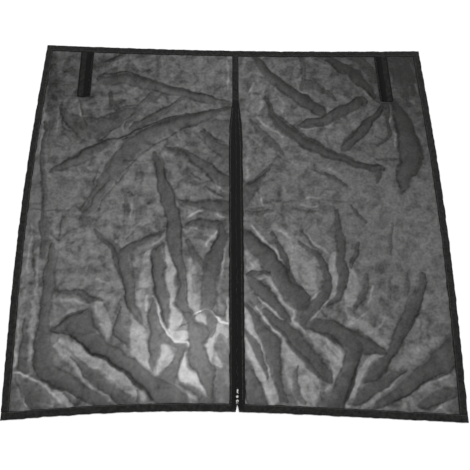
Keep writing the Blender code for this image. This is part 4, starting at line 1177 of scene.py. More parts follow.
RIGHT_CREASES = creases(
    (1.4, 9, (29, -515), (31, -545), (35, -578)),
    (0.5, 14, (90, 560), (130, 515), (180, 468), (230, 430), (280, 390)),
    (0.5, 14, (120, 362), (170, 314), (230, 268), (300, 222), (370, 192), (440, 164)),
    (1.1, 6, (65, 585), (100, 563), (130, 524), (152, 503), (183, 476), (204, 459), (226, 442), (256, 424),
     (283, 398), (306, 370)),
    (0.7, 4, (125, 482), (150, 455), (187, 420), (217, 394), (248, 372), (283, 353), (306, 350)),
    (-0.8, 7, (208, 459), (232, 445), (252, 434)),
    (0.8, 12, (272, 410), (284, 396)),
    (0.8, 4, (212, 322), (245, 338), (300, 350), (330, 364), (352, 390), (370, 400), (400, 416),
     (436, 432)),
    (0.5, 4, (212, 312), (248, 309), (290, 315), (330, 333), (375, 358)),
    (0.7, 9, (420, 420), (430, 402), (428, 386)),
    (-0.6, 7, (205, 318), (225, 302), (290, 305), (330, 325)),
    (1.1, 6, (125, 374), (148, 350), (174, 324), (200, 303), (235, 276), (270, 250), (304, 229),
     (330, 212), (370, 203), (400, 185), (430, 172), (480, 163)),
    (0.6, 4, (113, 362), (130, 333), (152, 303), (183, 276), (226, 237), (270, 207), (313, 190),
     (330, 186), (374, 172), (417, 155), (450, 146)),
    (0.6, 4, (478, 350), (460, 320), (430, 285), (395, 248), (372, 226)),
    (0.6, 4, (448, 342), (417, 315), (391, 285), (360, 250), (344, 232)),
    (0.9, 6, (298, 588), (326, 565), (348, 542), (376, 513)),
    (1.2, 8, (350, 577), (383, 559), (409, 537), (437, 516)),
    (0.8, 6, (400, 494), (426, 468), (452, 446), (478, 420), (494, 403)),
    (0.5, 5, (452, 490), (470, 464), (484, 435)),
    (-0.6, 8, (410, 470), (440, 445), (465, 425)),
    (0.4, 5, (268, 592), (304, 572), (322, 550)),
    (0.6, 9, (118, 432), (111, 402), (116, 374)),
    (-0.8, 9, (78, 345), (92, 320), (130, 298), (158, 274)),
    (-0.6, 12, (65, 480), (45, 440)),
    (-0.6, 20, (100, 450), (90, 400), (85, 370)),
    (-0.5, 24, (150, 430), (170, 400), (160, 365)),
    (1.0, 9, (535, 407), (561, 381), (578, 350), (587, 320), (596, 290), (609, 250), (613, 205),
     (609, 172), (595, 155)),
    (0.5, 5, (522, 370), (535, 340), (540, 290), (541, 230), (540, 200)),
    (0.8, 4, (540, 200), (537, 172), (522, 150), (520, 110), (530, 68)),
    (0.7, 4, (595, 155), (578, 133), (561, 107), (543, 64)),
    (-0.9, 6, (515, 364), (522, 342), (524, 312)),
    (-0.6, 12, (528, 290), (530, 240)),
    (0.6, 12, (463, 277), (482, 262)),
    (-1.3, 6, (605, 575), (617, 540), (620, 518)),
    (-1.2, 6, (622, 475), (622, 440)),
    (0.9, 6, (528, 568), (534, 549), (540, 530)),
    (-0.6, 6, (532, 552), (538, 520), (537, 470)),
    (0.8, 8, (602, 560), (612, 530), (613, 505)),
    (-0.6, 24, (600, 470), (590, 430), (605, 400)),
    (0.7, 5, (527, 556), (537, 530), (541, 503)),
    (0.6, 6, (235, 158), (270, 146), (304, 129)),
    (-0.5, 8, (300, 155), (330, 138), (350, 125)),
    (0.8, 5, (119, 160), (96, 138), (70, 121), (46, 97)),
    (0.5, 6, (109, 120), (78, 90), (56, 62)),
    (-0.8, 9, (41, 165), (37, 110)),
    (-0.9, 14, (78, 46), (86, 28)),
    (0.5, 4, (26, 13), (60, 16), (102, 18)),
    (-0.7, 7, (215, 50), (243, 57), (272, 50)),
    (-0.7, 7, (205, 28), (240, 22), (262, 26)),
    (0.4, 4, (307, -20), (313, -60), (313, -110), (313, -150)),
    (0.4, 4, (341, -60), (337, -110), (331, -150)),
    (0.9, 5, (30, -52), (57, -72), (87, -102), (113, -124), (135, -154), (152, -184), (165, -212),
     (190, -245), (245, -252)),
    (0.5, 4, (33, -125), (57, -146), (78, -167), (96, -185), (113, -210), (135, -250), (150, -285)),
    (-1.2, 9, (52, -40), (75, -72), (100, -100), (122, -120), (140, -150), (148, -172)),
    (-0.9, 14, (172, -150), (188, -185), (192, -212)),
    (-0.8, 26, (135, -60), (165, -75), (180, -110)),
    (0.7, 5, (204, -58), (230, -93), (263, -125)),
    (-0.7, 9, (215, -62), (243, -100), (285, -130)),
    (-1.0, 9, (303, -150), (304, -200), (308, -230), (296, -267), (262, -298)),
    (-0.9, 12, (256, -252), (228, -276)),
    (-0.9, 12, (215, -352), (257, -303)),
    (-1.3, 20, (38, -160), (62, -180)),
    (-1.0, 9, (40, -212), (60, -216), (92, -208)),
    (-1.0, 10, (88, -204), (104, -222), (119, -250), (131, -268), (145, -288), (160, -303), (179, -313),
     (170, -334), (175, -346), (188, -362), (200, -380)),
    (0.7, 4, (35, -215), (52, -250), (83, -270), (110, -300), (143, -335), (160, -345)),
    (-1.2, 9, (70, -266), (92, -288), (115, -312), (142, -337)),
    (0.8, 4, (83, -320), (109, -350), (143, -385), (174, -420), (204, -450), (230, -480), (259, -514)),
    (0.6, 4, (109, -305), (143, -333), (174, -367), (204, -398), (235, -428), (261, -459), (279, -492)),
    (-1.2, 9, (63, -300), (74, -325), (100, -355), (130, -390), (148, -400)),
    (0.9, 4, (30, -298), (55, -345), (78, -400), (87, -440), (100, -485), (126, -555), (135, -580)),
    (0.5, 4, (48, -305), (74, -337), (104, -367), (130, -400), (130, -440), (135, -485), (150, -560)),
    (0.6, 4, (33, -450), (57, -498), (78, -540), (97, -574)),
    (0.8, 4, (252, -300), (265, -325), (291, -345), (330, -358), (374, -390), (410, -412), (437, -428)),
    (0.7, 4, (191, -365), (240, -372), (280, -385), (305, -412), (322, -440), (304, -485), (287, -525),
     (261, -550)),
    (0.8, 4, (367, -440), (345, -480), (326, -520), (313, -555), (306, -587)),
    (0.5, 4, (548, -205), (540, -245), (505, -300), (483, -345), (461, -390), (437, -428)),
    (0.5, 5, (578, -205), (572, -250), (556, -295), (530, -335), (500, -380), (468, -428), (438, -470),
     (405, -505)),
    (0.8, 5, (435, -587), (478, -560), (522, -530), (565, -508), (609, -495), (634, -462)),
    (0.4, 4, (390, -575), (435, -552), (478, -513), (522, -478), (565, -452), (600, -415), (625, -392)),
    (-0.6, 14, (520, -545), (560, -515), (612, -502)),
    (-0.9, 7, (562, -596), (587, -576), (624, -548)),
    (0.5, 7, (217, -520), (243, -548), (248, -566)),
    (0.7, 5, (257, -405), (278, -432), (300, -452)),
    (-0.7, 10, (416, -232), (410, -262), (393, -292)),
    (0.8, 8, (319, -338), (321, -358)),
    (-0.8, 8, (335, -350), (358, -342), (385, -320)),
    (0.4, 12, (548, -350), (540, -405)),
    (-0.5, 26, (440, -330), (420, -370)),
)

# Each spot's fourth number paints light into the net's cover, paler above 0, and paints shade below 0; its
# fifth crumples the net more or less
SPOTS = (
    Spot(-140, -400, 180, 1.15, -0.3),
    Spot(-330, -60, 260, 0.25, 0.1),
    Spot(120, -420, 230, 0.18),
    Spot(-640, 560, 260, -0.6),
    Spot(640, 560, 260, -1.0, -0.3),
    Spot(330, 580, 180, -0.25),
    Spot(640, 230, 200, -0.25),
    Spot(660, -500, 320, -0.1),
    Spot(-560, -360, 220, 0.22),
    Spot(-558, 72, 90, 0.0, -0.6),
    Spot(520, 40, 330, 0.0, -0.45),
)


@dataclass(frozen=True)
class Crumpling:
    """Noise that makes the net uneven.

    Attributes:
        stir: pushes of the grid under the small creases. A push in x has a twin in y, one seed higher.
        crests: the small creases, which lift the net and also paint its cover: those below 0 with painted
            shade, the others with painted highlights.
        blotches: soft patches between them.
        waver: pushes of the grid under the folds.
        ragged: how the blur of a fold's edge varies.
    """

    stir: tuple[Wave, ...] = (Wave(0.016, 0.070, 3), Wave(0.007, 0.026, 5))
    crests: tuple[Wave, ...] = (
        Wave(0.5, 0.055, 11), Wave(0.4, 0.026, 12), Wave(-0.5, 0.048, 14), Wave(-0.4, 0.022, 15)
    )
    blotches: tuple[Wave, ...] = (Wave(0.60, 0.042, 20), Wave(0.70, 0.024, 21), Wave(0.30, 0.012, 22))
    waver: tuple[Wave, ...] = (Wave(0.007, 0.050, 51), Wave(0.003, 0.018, 53))
    ragged: Wave = Wave(0.9, 0.045, 57)


@dataclass
class NetPanel:
    """One half of the net, laid on the floor with its folds.

    Attributes:
        side: which half it is.
        folds: its folds.
        creases: its creases and streaks.
        finish: the net's material.
        step: distance between the grid's points.
        rim: how far its cut edge lies inside the tape's outer edge.
        band_edge: how far its inner edge lies from the zip line.
        drop: distance over which it comes down from a tape to the floor.
        fade: distance over which a fold dies away at a tape.
        base: cover of the net where it lies flat.
        doubled: what a fold adds to the cover, partly for the net lying double and partly as painted shade.
        dark: what a crease or a fold's edge line adds to it: painted shade, partly the net seen double.
        pale: what a pale streak or area of painted light takes off it.
        crumple: height of the small creases.
        shade: how much painted shade darkens the side of a fold turned away from the bright patch, and how
            much paler it paints the near side, against its middle.
        lit: middle of the patch that glows through the net, a painted pool of light, on the photo's plan in
            mm;
            the folds' painted shade is turned away from it.
        margin: how far past its edge a fold or crease still shows.
        crested: what a pale crest's painted highlight takes off the cover, and a dark crest's painted shade
            adds.
        patches: what a dark and a pale blotch add to it.
        calm: how much less a double net is crumpled.
        crumpling: least and most share of the crumples that the spots leave.
        veiled: how much fainter a streak is under a fold.
        painted_light_gain: what a spot's full painted light takes off the cover, and its painted shade adds.
        strapped: what it takes off that the back strap shows and the threads over it don't.
        limits: least and most cover.
        take_up: how much wider and longer the net is when it lies smooth. Not used.
        noise: what makes it uneven.
    """

    side: Side
    folds: tuple[Fold, ...]
    creases: tuple[Crease, ...]
    finish: Material
    step: float = 0.0030
    rim: float = 0.006
    band_edge: float = 0.0083
    drop: float = 0.025
    fade: float = 0.012
    base: float = 0.684
    doubled: float = 0.085
    dark: float = 0.175
    pale: float = 0.190
    crumple: float = 0.0012
    shade: float = 0.55
    lit: tuple[float, float] = (-110.0, -380.0)
    margin: float = 0.012
    crested: float = 0.06
    patches: tuple[float, float] = (0.14, 0.09)
    calm: float = 0.65
    crumpling: tuple[float, float] = (0.3, 2.0)
    veiled: float = 0.6
    painted_light_gain: float = 0.17
    strapped: float = 0.36
    limits: tuple[float, float] = (0.15, 0.93)
    take_up: tuple[float, float] = (0.02, 0.01)
    noise: Crumpling = Crumpling()
    x: Array = field(init=False)
    y: Array = field(init=False)

    def __post_init__(self) -> None:
        """Lays out the grid: u runs from the outer edge to the band, v from the hem to the header.

        x is blended between the side's edge at that height and the band, then y between hem and header.
        """
        width = PLAN.left if self.side is Side.LEFT else PLAN.right
        columns, rows = round(width / self.step), round(PLAN.height / self.step)
        v, u = np.meshgrid(np.linspace(0, 1, rows), np.linspace(0, 1, columns), indexing="ij")
        rough = PLAN.hem(0.0) + self.rim + v * (PLAN.header(0.0) - PLAN.hem(0.0) - 2 * self.rim)
        outer = PLAN.flank(self.side, rough) - self.side.value * self.rim
        self.x = outer + u * (self.side.value * self.band_edge - outer)
        low, high = PLAN.hem(self.x) + self.rim, PLAN.header(self.x) - self.rim
        self.y = low + v * (high - low)

    def room(self) -> Array:
        """How far the net lies from the tapes.

        Returns:
            Distance of each point from the nearest tape's visible edge, negative under a tape.
        """
        gaps = (
            self.side.value * (PLAN.flank(self.side, self.y) - self.x) - PLAN.tape,
            PLAN.header(self.x) - PLAN.tape - self.y,
            self.y - PLAN.hem(self.x) - PLAN.tape,
            self.side.value * self.x - PLAN.band(self.y),
        )
        return np.minimum.reduce(gaps)

    def beside_straps(self) -> Array:
        """How far the net lies from the straps.

        Returns:
            Distance of each point from the box over which the straps hold the net flat.
        """
        low, high = Strap.held_box(self.side)
        across = np.maximum.reduce([low[0] - self.x, np.zeros_like(self.x), self.x - high[0]])
        along = np.maximum.reduce([low[1] - self.y, np.zeros_like(self.y), self.y - high[1]])
        return np.hypot(across, along)

    def pushed(self, pushes: tuple[Wave, ...]) -> tuple[Array, Array]:
        """The grid pushed about by noise, so that what is laid on it gets uneven outlines.

        Args:
            pushes: the pushes in x.

        Returns:
            The x and y of each point.
        """
        x, y = self.x, self.y
        for push in pushes:
            x = x + push.over(self.x, self.y)
            y = y + replace(push, seed=push.seed + 1).over(self.x, self.y)
        return x, y

    def crinkle(self) -> tuple[Array, Array]:
        """Small creases and patches on a pushed grid.

        Returns:
            Crests from about -1 (painted shade) to 1 (painted highlight), and blotches from about -1 to 1.
        """
        x, y = self.pushed(self.noise.stir)
        crests = sum(wave.crests(x, y) for wave in self.noise.crests)
        return crests, sum(wave.over(x, y) for wave in self.noise.blotches)

    def lie(self) -> tuple[Array, Array]:
        """How the spots change the net.

        Returns:
            The painted light and shade of the cover, and how rough it lies: the sums of the spots' bell
            curves.
        """
        painted_light, rough = np.zeros_like(self.x), np.zeros_like(self.x)
        for spot in SPOTS:
            centre = PLAN.traced([(spot.x, spot.y)])[0]
            near = bell(np.hypot(self.x - centre[0], self.y - centre[1]), 0, spot.radius * MM)
            painted_light += spot.painted_light * near
            rough += spot.rough * near
        return painted_light, rough

    def relief(self) -> tuple[Array, Array, Array, Array]:
        """What the folds and creases do to each point of the net.

        A fold is a pillow: its height is 1 minus the cube of the distance across it. Its body is the part
        that lies double, and it also carries painted shade. Painted shade makes it darker on the side that
        is turned away from the bright patch, where it has a dark painted line along its edge, and paler on
        the near side: the turn is the share of the half width that a point lies away from the patch. A
        crease or streak is a bell curve across its path.

        Returns:
            Lift in metres, body from 0 to about 1.5, the painted shade of the creases and edge lines, and
            the painted light of the pale streaks and areas.
        """
        blur_share, blur_most, blur_least = 0.35, 0.0035, 0.0005
        line_mean, line_turned, line_inset, line_spread = 0.30, 0.25, 0.001, 0.0028
        full_height_from = 0.008
        lift, body, dark, pale = (np.zeros_like(self.x) for _ in range(4))
        x, y = self.pushed(self.noise.waver)
        patch = PLAN.traced([self.lit])[0]
        away = np.stack([self.x - patch[0], self.y - patch[1]])
        away /= np.hypot(*away)
        ragged = 1 + self.noise.ragged.over(self.x, self.y)
        for fold in self.folds:
            near = fold.near(x, y, self.margin)
            gap, half, offset = fold.reach(x[near], y[near])
            soft = np.minimum(blur_share * half, blur_most) * ragged[near] + blur_least
            shape = abs(fold.weight) * (1 - smooth(half - soft, half + soft, gap))
            # A fold of weight below 0 is an area of painted light
            if fold.weight < 0:
                pale[near] = np.maximum(pale[near], shape)
                continue
            # Painted shade: a fold is darker on the side turned away from the bright patch, paler on the
            # near side, and its dark edge line is stronger on the far side
            turn = np.clip((offset * away[:, near]).sum(axis=0) / (half + MM), -1, 1)
            shape *= 1 + self.shade * turn
            ridge = fold.height * MM * np.minimum(half / full_height_from, 1)
            lift[near] = np.maximum(lift[near], ridge * np.clip(1 - (gap / half) ** 3, 0, 1))
            line = (line_mean + line_turned * turn) * fold.weight
            line = line * bell(gap, half - line_inset, line_spread)
            dark[near] = np.maximum(dark[near], line)
            body[near] = np.maximum(body[near], shape)
        # Narrower than the grid can show, a crease is drawn wider and fades instead
        full_strength_steps, least_steps = 1.6, 1.1
        for crease in self.creases:
            near = crease.near(x, y, self.margin)
            gap, half, _ = crease.reach(x[near], y[near])
            marks = dark if crease.depth > 0 else pale
            strength = abs(crease.depth) * np.minimum(half / self.step * full_strength_steps, 1)
            spread = np.maximum(half, least_steps * self.step)
            marks[near] = np.maximum(marks[near], strength * bell(gap, 0.0, spread))
        return lift, body, dark, pale

    def build(self) -> None:
        room, beside = self.room(), self.beside_straps()
        lift, body, dark, pale = self.relief()
        crests, blotches = self.crinkle()
        painted_light, rough = self.lie()
        still = smooth(0, self.fade, room) * smooth(0, self.fade, beside)
        held = 1 - smooth(0, self.drop, np.minimum(room, beside))
        covered = np.minimum(body, 1)
        rise = self.crumple * (1 - 0.5 * covered) * (0.6 * crests + 0.4 * (1 + blotches) / 2)
        z = LAYERS.net * held + LAYERS.floor_net * (1 - held) + still * (lift + rise)
        patches = np.where(blotches > 0, *self.patches) * blotches
        crumpled = (1 - self.calm * covered) * np.clip(1 + rough, *self.crumpling)
        # The cover: folds add the net lying double and painted shade; creases, edge lines, dark crests and
        # darker spots add painted shade; pale streaks and areas, pale crests and the spots' pools of light
        # take cover off as painted light
        cover = (
            self.base
            + self.doubled * body
            + self.dark * dark
            - self.pale * pale * (1 - self.veiled * covered)
            - self.painted_light_gain * painted_light
            + crumpled * (patches - self.crested * crests)
            - self.strapped * smooth(0, self.step, Strap.back_depth(self.side, self.x, self.y))
        )
        rows, columns = self.x.shape
        points = np.stack([self.x, self.y, z], axis=-1).reshape(-1, 3)
        name = f"net_panel_{self.side.word}"
        obj = add_piece(name, points, sheet_faces(rows, columns, self.side is Side.RIGHT), self.finish)
        store = obj.data.attributes.new("cover", "FLOAT", "POINT")
        store.data.foreach_set("value", np.clip(cover, *self.limits).ravel().astype(np.float32))
        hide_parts(f"net_{self.side.word}")


class Edge(Enum):
    """The folded tapes, with the CAD node that each stands for."""

    HEADER = "header_binding"
    LEFT_SIDE = "left_side_binding"
    RIGHT_SIDE = "right_side_binding"
    LEFT_HEM = "left_hem_binding"
    RIGHT_HEM = "right_hem_binding"
    LEFT_ZIP = "left_zip_binding"
    RIGHT_ZIP = "right_zip_binding"

    @property
    def side(self) -> Side:
        """The half of the screen that it belongs to. The header counts as left."""
        return Side.RIGHT if self.name.startswith("RIGHT") else Side.LEFT


def place_on(edge: Edge, s: Array, q: Array) -> tuple[Array, Array]:
    """Plan point of a folded tape.

    Args:
        edge: which tape.
        s: share along it, from left to right or from bottom to top.
        q: distance in from its fold, in metres.

    Returns:
        The x and y of each point, from the zip line.
    """
    side = edge.side.value
    if edge is Edge.HEADER:
        x = -PLAN.left + s * PLAN.width
        return x + 0 * q, PLAN.header(x) - q
    if edge in (Edge.LEFT_SIDE, Edge.RIGHT_SIDE):
        x = side * ((PLAN.left if side < 0 else PLAN.right) - q)
        low = PLAN.hem(x) + PLAN.tape + PLAN.fit
        y = low + s * (PLAN.header(x) - PLAN.tape - PLAN.fit - low)
        return PLAN.flank(edge.side, y) - side * q, y
    if edge in (Edge.LEFT_HEM, Edge.RIGHT_HEM):
        far = side * (PLAN.left if side < 0 else PLAN.right)
        x = far + s * (side * (PLAN.fit / 2 + PLAN.wedge_half * (1 - q / PLAN.tape)) - far)
        return x, PLAN.hem(x) + q
    x = side * (PLAN.band_gap + q)
    low = PLAN.hem(x) + PLAN.tape + PLAN.fit
    return x + 0 * s, low + s * (PLAN.seam_bottom - PLAN.fit - low)


@dataclass
class FoldedTape:
    """Tape folded over the net's edge and sewn down, a little puckered by its stitches.

    Attributes:
        edge: which tape it is.
        finish: the tape's material.
        step: distance between its cross sections.
        pucker: how high the tape stands up between stitches.
        wander: how far its edges stray in plan.
    """

    edge: Edge
    finish: Material
    step: float = 0.0035
    pucker: float = 0.0007
    wander: float = 0.0015

    def length(self) -> float:
        """Length along the fold, in metres."""
        x, y = place_on(self.edge, np.linspace(0, 1, 60), np.full(60, MM))
        return float(np.hypot(np.diff(x), np.diff(y)).sum())

    def width(self, s: Array) -> Array:
        """Width of the tape: along the zip it is the band's own.

        Args:
            s: shares along the tape.

        Returns:
            The width at each share.
        """
        if self.edge not in (Edge.LEFT_ZIP, Edge.RIGHT_ZIP):
            return np.full_like(s, PLAN.tape)
        _, y = place_on(self.edge, s, np.zeros_like(s))
        return PLAN.band(y) - PLAN.band_gap

    def section(self, width: Array, along: Array) -> Array:
        """The folded tape in cross section, at each station.

        It goes round the fold as half a circle, over the top, which is crowned and puckered by noise, back
        into the slot that holds the net, and along the floor.

        Args:
            width: the tape's width at each station.
            along: how far along the tape each station is, in metres.

        Returns:
            (stations, points, 2) of distance from the fold and height.
        """
        top, radius = LAYERS.tape_top, LAYERS.tape_top / 2
        turn = np.linspace(-math.pi / 2, math.pi / 2, 6)
        arc = [(radius - radius * math.cos(a), radius + radius * math.sin(a), 0.0, 0.0) for a in turn]
        # Each point is (fixed distance, height, share of the width, share of the pucker)
        crown = [(radius * (1 - t), top, t, math.sin(math.pi * t) ** 0.5) for t in (0.2, 0.4, 0.6, 0.8)]
        lip = [(-LAYERS.lip[0], top, 1.0, 0.15), (0.0, top - LAYERS.lip[1], 1.0, 0.0)]
        deep, low, high = LAYERS.tape_fold, LAYERS.slot_low, LAYERS.slot_high
        slot = [(0.0, high, 1.0, 0.0), (deep, high, 0.0, 0.0), (deep, low, 0.0, 0.0), (0.0, low, 1.0, 0.0)]
        foot = [(0.0, LAYERS.toe[1], 1.0, 0.0), (-LAYERS.toe[0], 0.0, 1.0, 0.0)]
        rows = np.array(arc + crown + lip + slot + foot)
        q = rows[:, 0] + rows[:, 2] * width[:, None]
        spread = along[:, None] + 0 * q
        seed = list(Edge).index(self.edge)
        bumps = 0.5 + 0.5 * ripple_noise(spread, q * 2, 0.012, 40 + seed)
        swell = np.clip(ripple_noise(spread, q, 0.055, 60 + seed), 0, 1)
        z = rows[:, 1] + rows[:, 3] * self.pucker * (bumps + 1.2 * swell)
        return np.stack([q, z], axis=-1)

    def stray(self, along: Array, q: Array) -> Array:
        """How far noise makes the tape's edges stray, which they don't along the zip's fold.

        Args:
            along: how far along the tape each point is.
            q: its distance in from the fold.

        Returns:
            How far each point moves across the tape.
        """
        seed = list(Edge).index(self.edge)
        amount = ripple_noise(along, q, 0.035, 80 + seed) + Wave(0.6, 0.014, 90 + seed).over(along, q)
        if self.edge in (Edge.LEFT_ZIP, Edge.RIGHT_ZIP):
            straight_up_to = 0.012
            return self.wander * amount * np.clip(q / straight_up_to, 0, 1) ** 2
        return self.wander * amount

    def build(self) -> None:
        """Makes the tape as its cross section carried along its edge."""
        length = self.length()
        count = round(length / self.step)
        s = np.linspace(0, 1, count)
        along = s * length
        section = self.section(self.width(s), along)
        q, z = section[..., 0], section[..., 1]
        ends = smooth(0, 0.004, np.minimum(along, length - along))[:, None]
        q = q + ends * self.stray(along[:, None] + 0 * q, q)
        x, y = place_on(self.edge, s[:, None] + 0 * q, q)
        points = np.stack([x, y, z], axis=-1).reshape(-1, 3)
        flip = self.edge in (Edge.RIGHT_SIDE, Edge.RIGHT_HEM, Edge.LEFT_ZIP)
        faces = tube_faces(count, q.shape[1], flip)
        obj = add_piece(f"tape_{self.edge.name.lower()}", points, faces, self.finish)
        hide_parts(self.edge.value)


@dataclass
class SeamTape:
    """The narrow tape that closes the middle above the zip, with a slot for the net in each edge.

    Attributes:
        finish: the tape's material.
        web: half width of the web between the slots.
        step: distance between its cross sections.
        pucker: how high its top is crowned, and how far its edges stray in plan.
    """

    finish: Material
    web: float = 0.0015
    step: float = 0.0035
    pucker: float = 0.0006

    def build(self) -> None:
        """Makes the tape as an H section with a crowned top, carried from the header down to the zip."""
        half, top, web = PLAN.seam_half, LAYERS.tape_top, self.web
        foot = [(half - LAYERS.toe[0], 0.0), (half, LAYERS.toe[1]), (half, LAYERS.slot_low)]
        slot = [(web, LAYERS.slot_low), (web, LAYERS.slot_high), (half, LAYERS.slot_high)]
        lip = [(half, top - LAYERS.lip[1]), (half - LAYERS.lip[0], top)]
        right = foot + slot + lip + [(half * share, top) for share in (0.72, 0.4, 0.13)]
        section = np.array(right + [(-x, z) for x, z in reversed(right)])
        count = round((PLAN.seam_length - PLAN.tape) / self.step)
        s = np.linspace(0, 1, count)[:, None]
        x = section[:, 0] + 0 * s
        high = PLAN.header(x) - PLAN.tape - PLAN.fit
        y = high + s * (PLAN.seam_bottom - high)
        crowned = (section[:, 1] > top - 0.0001) * np.clip(1 - np.abs(section[:, 0]) / half, 0, 1) ** 0.5
        bumps = 0.5 + 0.5 * ripple_noise(x * 2, y, 0.012, 31) + np.clip(ripple_noise(x, y, 0.05, 32), 0, 1)
        z = section[:, 1] + self.pucker * crowned * bumps
        shift = smooth(0, 0.01, np.minimum(high - y, y - PLAN.seam_bottom)) * self.pucker
        x = x + shift * ripple_noise(x, y, 0.03, 33)
        points = np.stack([x, y, z], axis=-1).reshape(-1, 3)
        obj = add_piece("tape_seam", points, tube_faces(count, len(section), True), self.finish)
        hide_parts("seam_tape")


@dataclass
class Strap:
    """A flat hook strap that hangs from the header, with cut corners at its free end.

    Attributes:
        side: which half it is on.
        front: whether it lies on the net or under it.
        finish: the strap's material.
        width: its width.
        length: its length below the header's tape.
        shift: how far the front and back straps of a pair lie apart.
        corner: size of the cut corners.
        thickness: that of a front and of a back strap.
        tip: length over which a corner is rounded.
        loose: how high a front strap stands off the net.
        sway: how far it strays sideways.
        stations: how many cross sections it has above its corners.
    """

    side: Side
    front: bool
    finish: Material
    width: float = 0.036
    length: float = 0.182
    shift: float = 0.009
    corner: float = 0.003
    thickness: tuple[float, float] = (0.0008, 0.0006)
    tip: float = 0.0008
    loose: float = 0.0009
    sway: float = 0.0006
    stations: int = 52

    @staticmethod
    def centre(side: Side) -> tuple[float, float]:
        """The x of a pair's middle at the header, and how far its tip leans to the right."""
        return (-0.516, 0.0) if side is Side.LEFT else (0.5055, 0.006)

    @staticmethod
    def held_box(side: Side) -> tuple[Array, Array]:
        """The box that a pair of straps covers, with a margin.

        Args:
            side: which pair.

        Returns:
            Its lowest and highest plan corner.
        """
        middle, lean = Strap.centre(side)
        reach, margin = (Strap.width + Strap.shift) / 2, 0.0015
        top = float(PLAN.header(middle)) - PLAN.tape
        low = np.array([middle - reach - margin, top - Strap.length - MM - margin])
        return low, np.array([middle + reach + lean + margin, top + MM])

    @staticmethod
    def back_depth(side: Side, x: Array, y: Array) -> Array:
        """How far inside the outline of a pair's back strap each point lies.

        Args:
            side: which pair.
            x: plan x.
            y: plan y.

        Returns:
            The distance from its nearest edge, negative outside it.
        """
        middle, lean = Strap.centre(side)
        down = float(PLAN.header(middle)) - PLAN.tape - y
        along = lean * np.clip(down / Strap.length, 0, 1)
        across = side.value * (x - middle - along) + (Strap.width + Strap.shift) / 2
        return np.minimum.reduce([across, Strap.width - across, Strap.length - down])

    def build(self) -> None:
        """Makes the strap as a rounded slat carried from the header to its tip.

        The slat's half width shrinks over the last few millimetres, and slow noise lifts it a little off
        what it lies on, so that it isn't dead flat.
        """
        middle, lean = Strap.centre(self.side)
        middle += self.side.value * self.shift / 2 * (1 if self.front else -1)
        thick = self.thickness[0 if self.front else 1]
        floor = LAYERS.front_strap if self.front else LAYERS.back_strap
        body = np.linspace(0, 1 - self.corner / self.length, self.stations)
        s = np.concatenate([body, [1 - self.tip / self.length, 1.0]])
        half = self.width / 2 - np.concatenate([np.zeros(self.stations), [self.corner * 0.7, self.corner]])
        # The slat in section: shares of its half width from left to right and back, and of its thickness
        upper = [-1, -0.985, -0.6, -0.2, 0.2, 0.6, 0.985, 1]
        across = np.array([*upper, *reversed(upper)])
        high = np.array([0.7, 1, 1, 1, 1, 1, 1, 0.7, 0.3, 0, 0, 0, 0, 0, 0, 0.3])
        offset = across * half[:, None]
        top = PLAN.header(middle + across * self.width / 2) - PLAN.tape - PLAN.fit
        end = float(PLAN.header(middle)) - PLAN.tape - self.length
        y = top + s[:, None] * (end - top)
        x = middle + lean * s[:, None] + offset
        x = x + self.sway * smooth(0, 0.02, s * self.length)[:, None] * ripple_noise(y, y * 0, 0.05, 71)
        wave = np.clip(0.5 + ripple_noise(y, x, 0.06, 72 + self.side.value), 0, 1.3)
        loose = smooth(0, 0.03, s * self.length)[:, None] * (self.loose if self.front else 0.0)
        z = floor + high * thick + wave * loose
        points = np.stack([x, y, z], axis=-1).reshape(-1, 3)
        where = "front" if self.front else "back"
        faces = tube_faces(len(s), len(across))
        obj = add_piece(f"strap_{self.side.word}_{where}_cloth", points, faces, self.finish)
        store = obj.data.attributes.new("across", "FLOAT", "POINT")
        inwards = 0.5 - 0.5 * self.side.value * across
        store.data.foreach_set("value", np.tile(inwards, len(s)).astype(np.float32))
        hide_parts(f"strap_{self.side.word}_{where}")


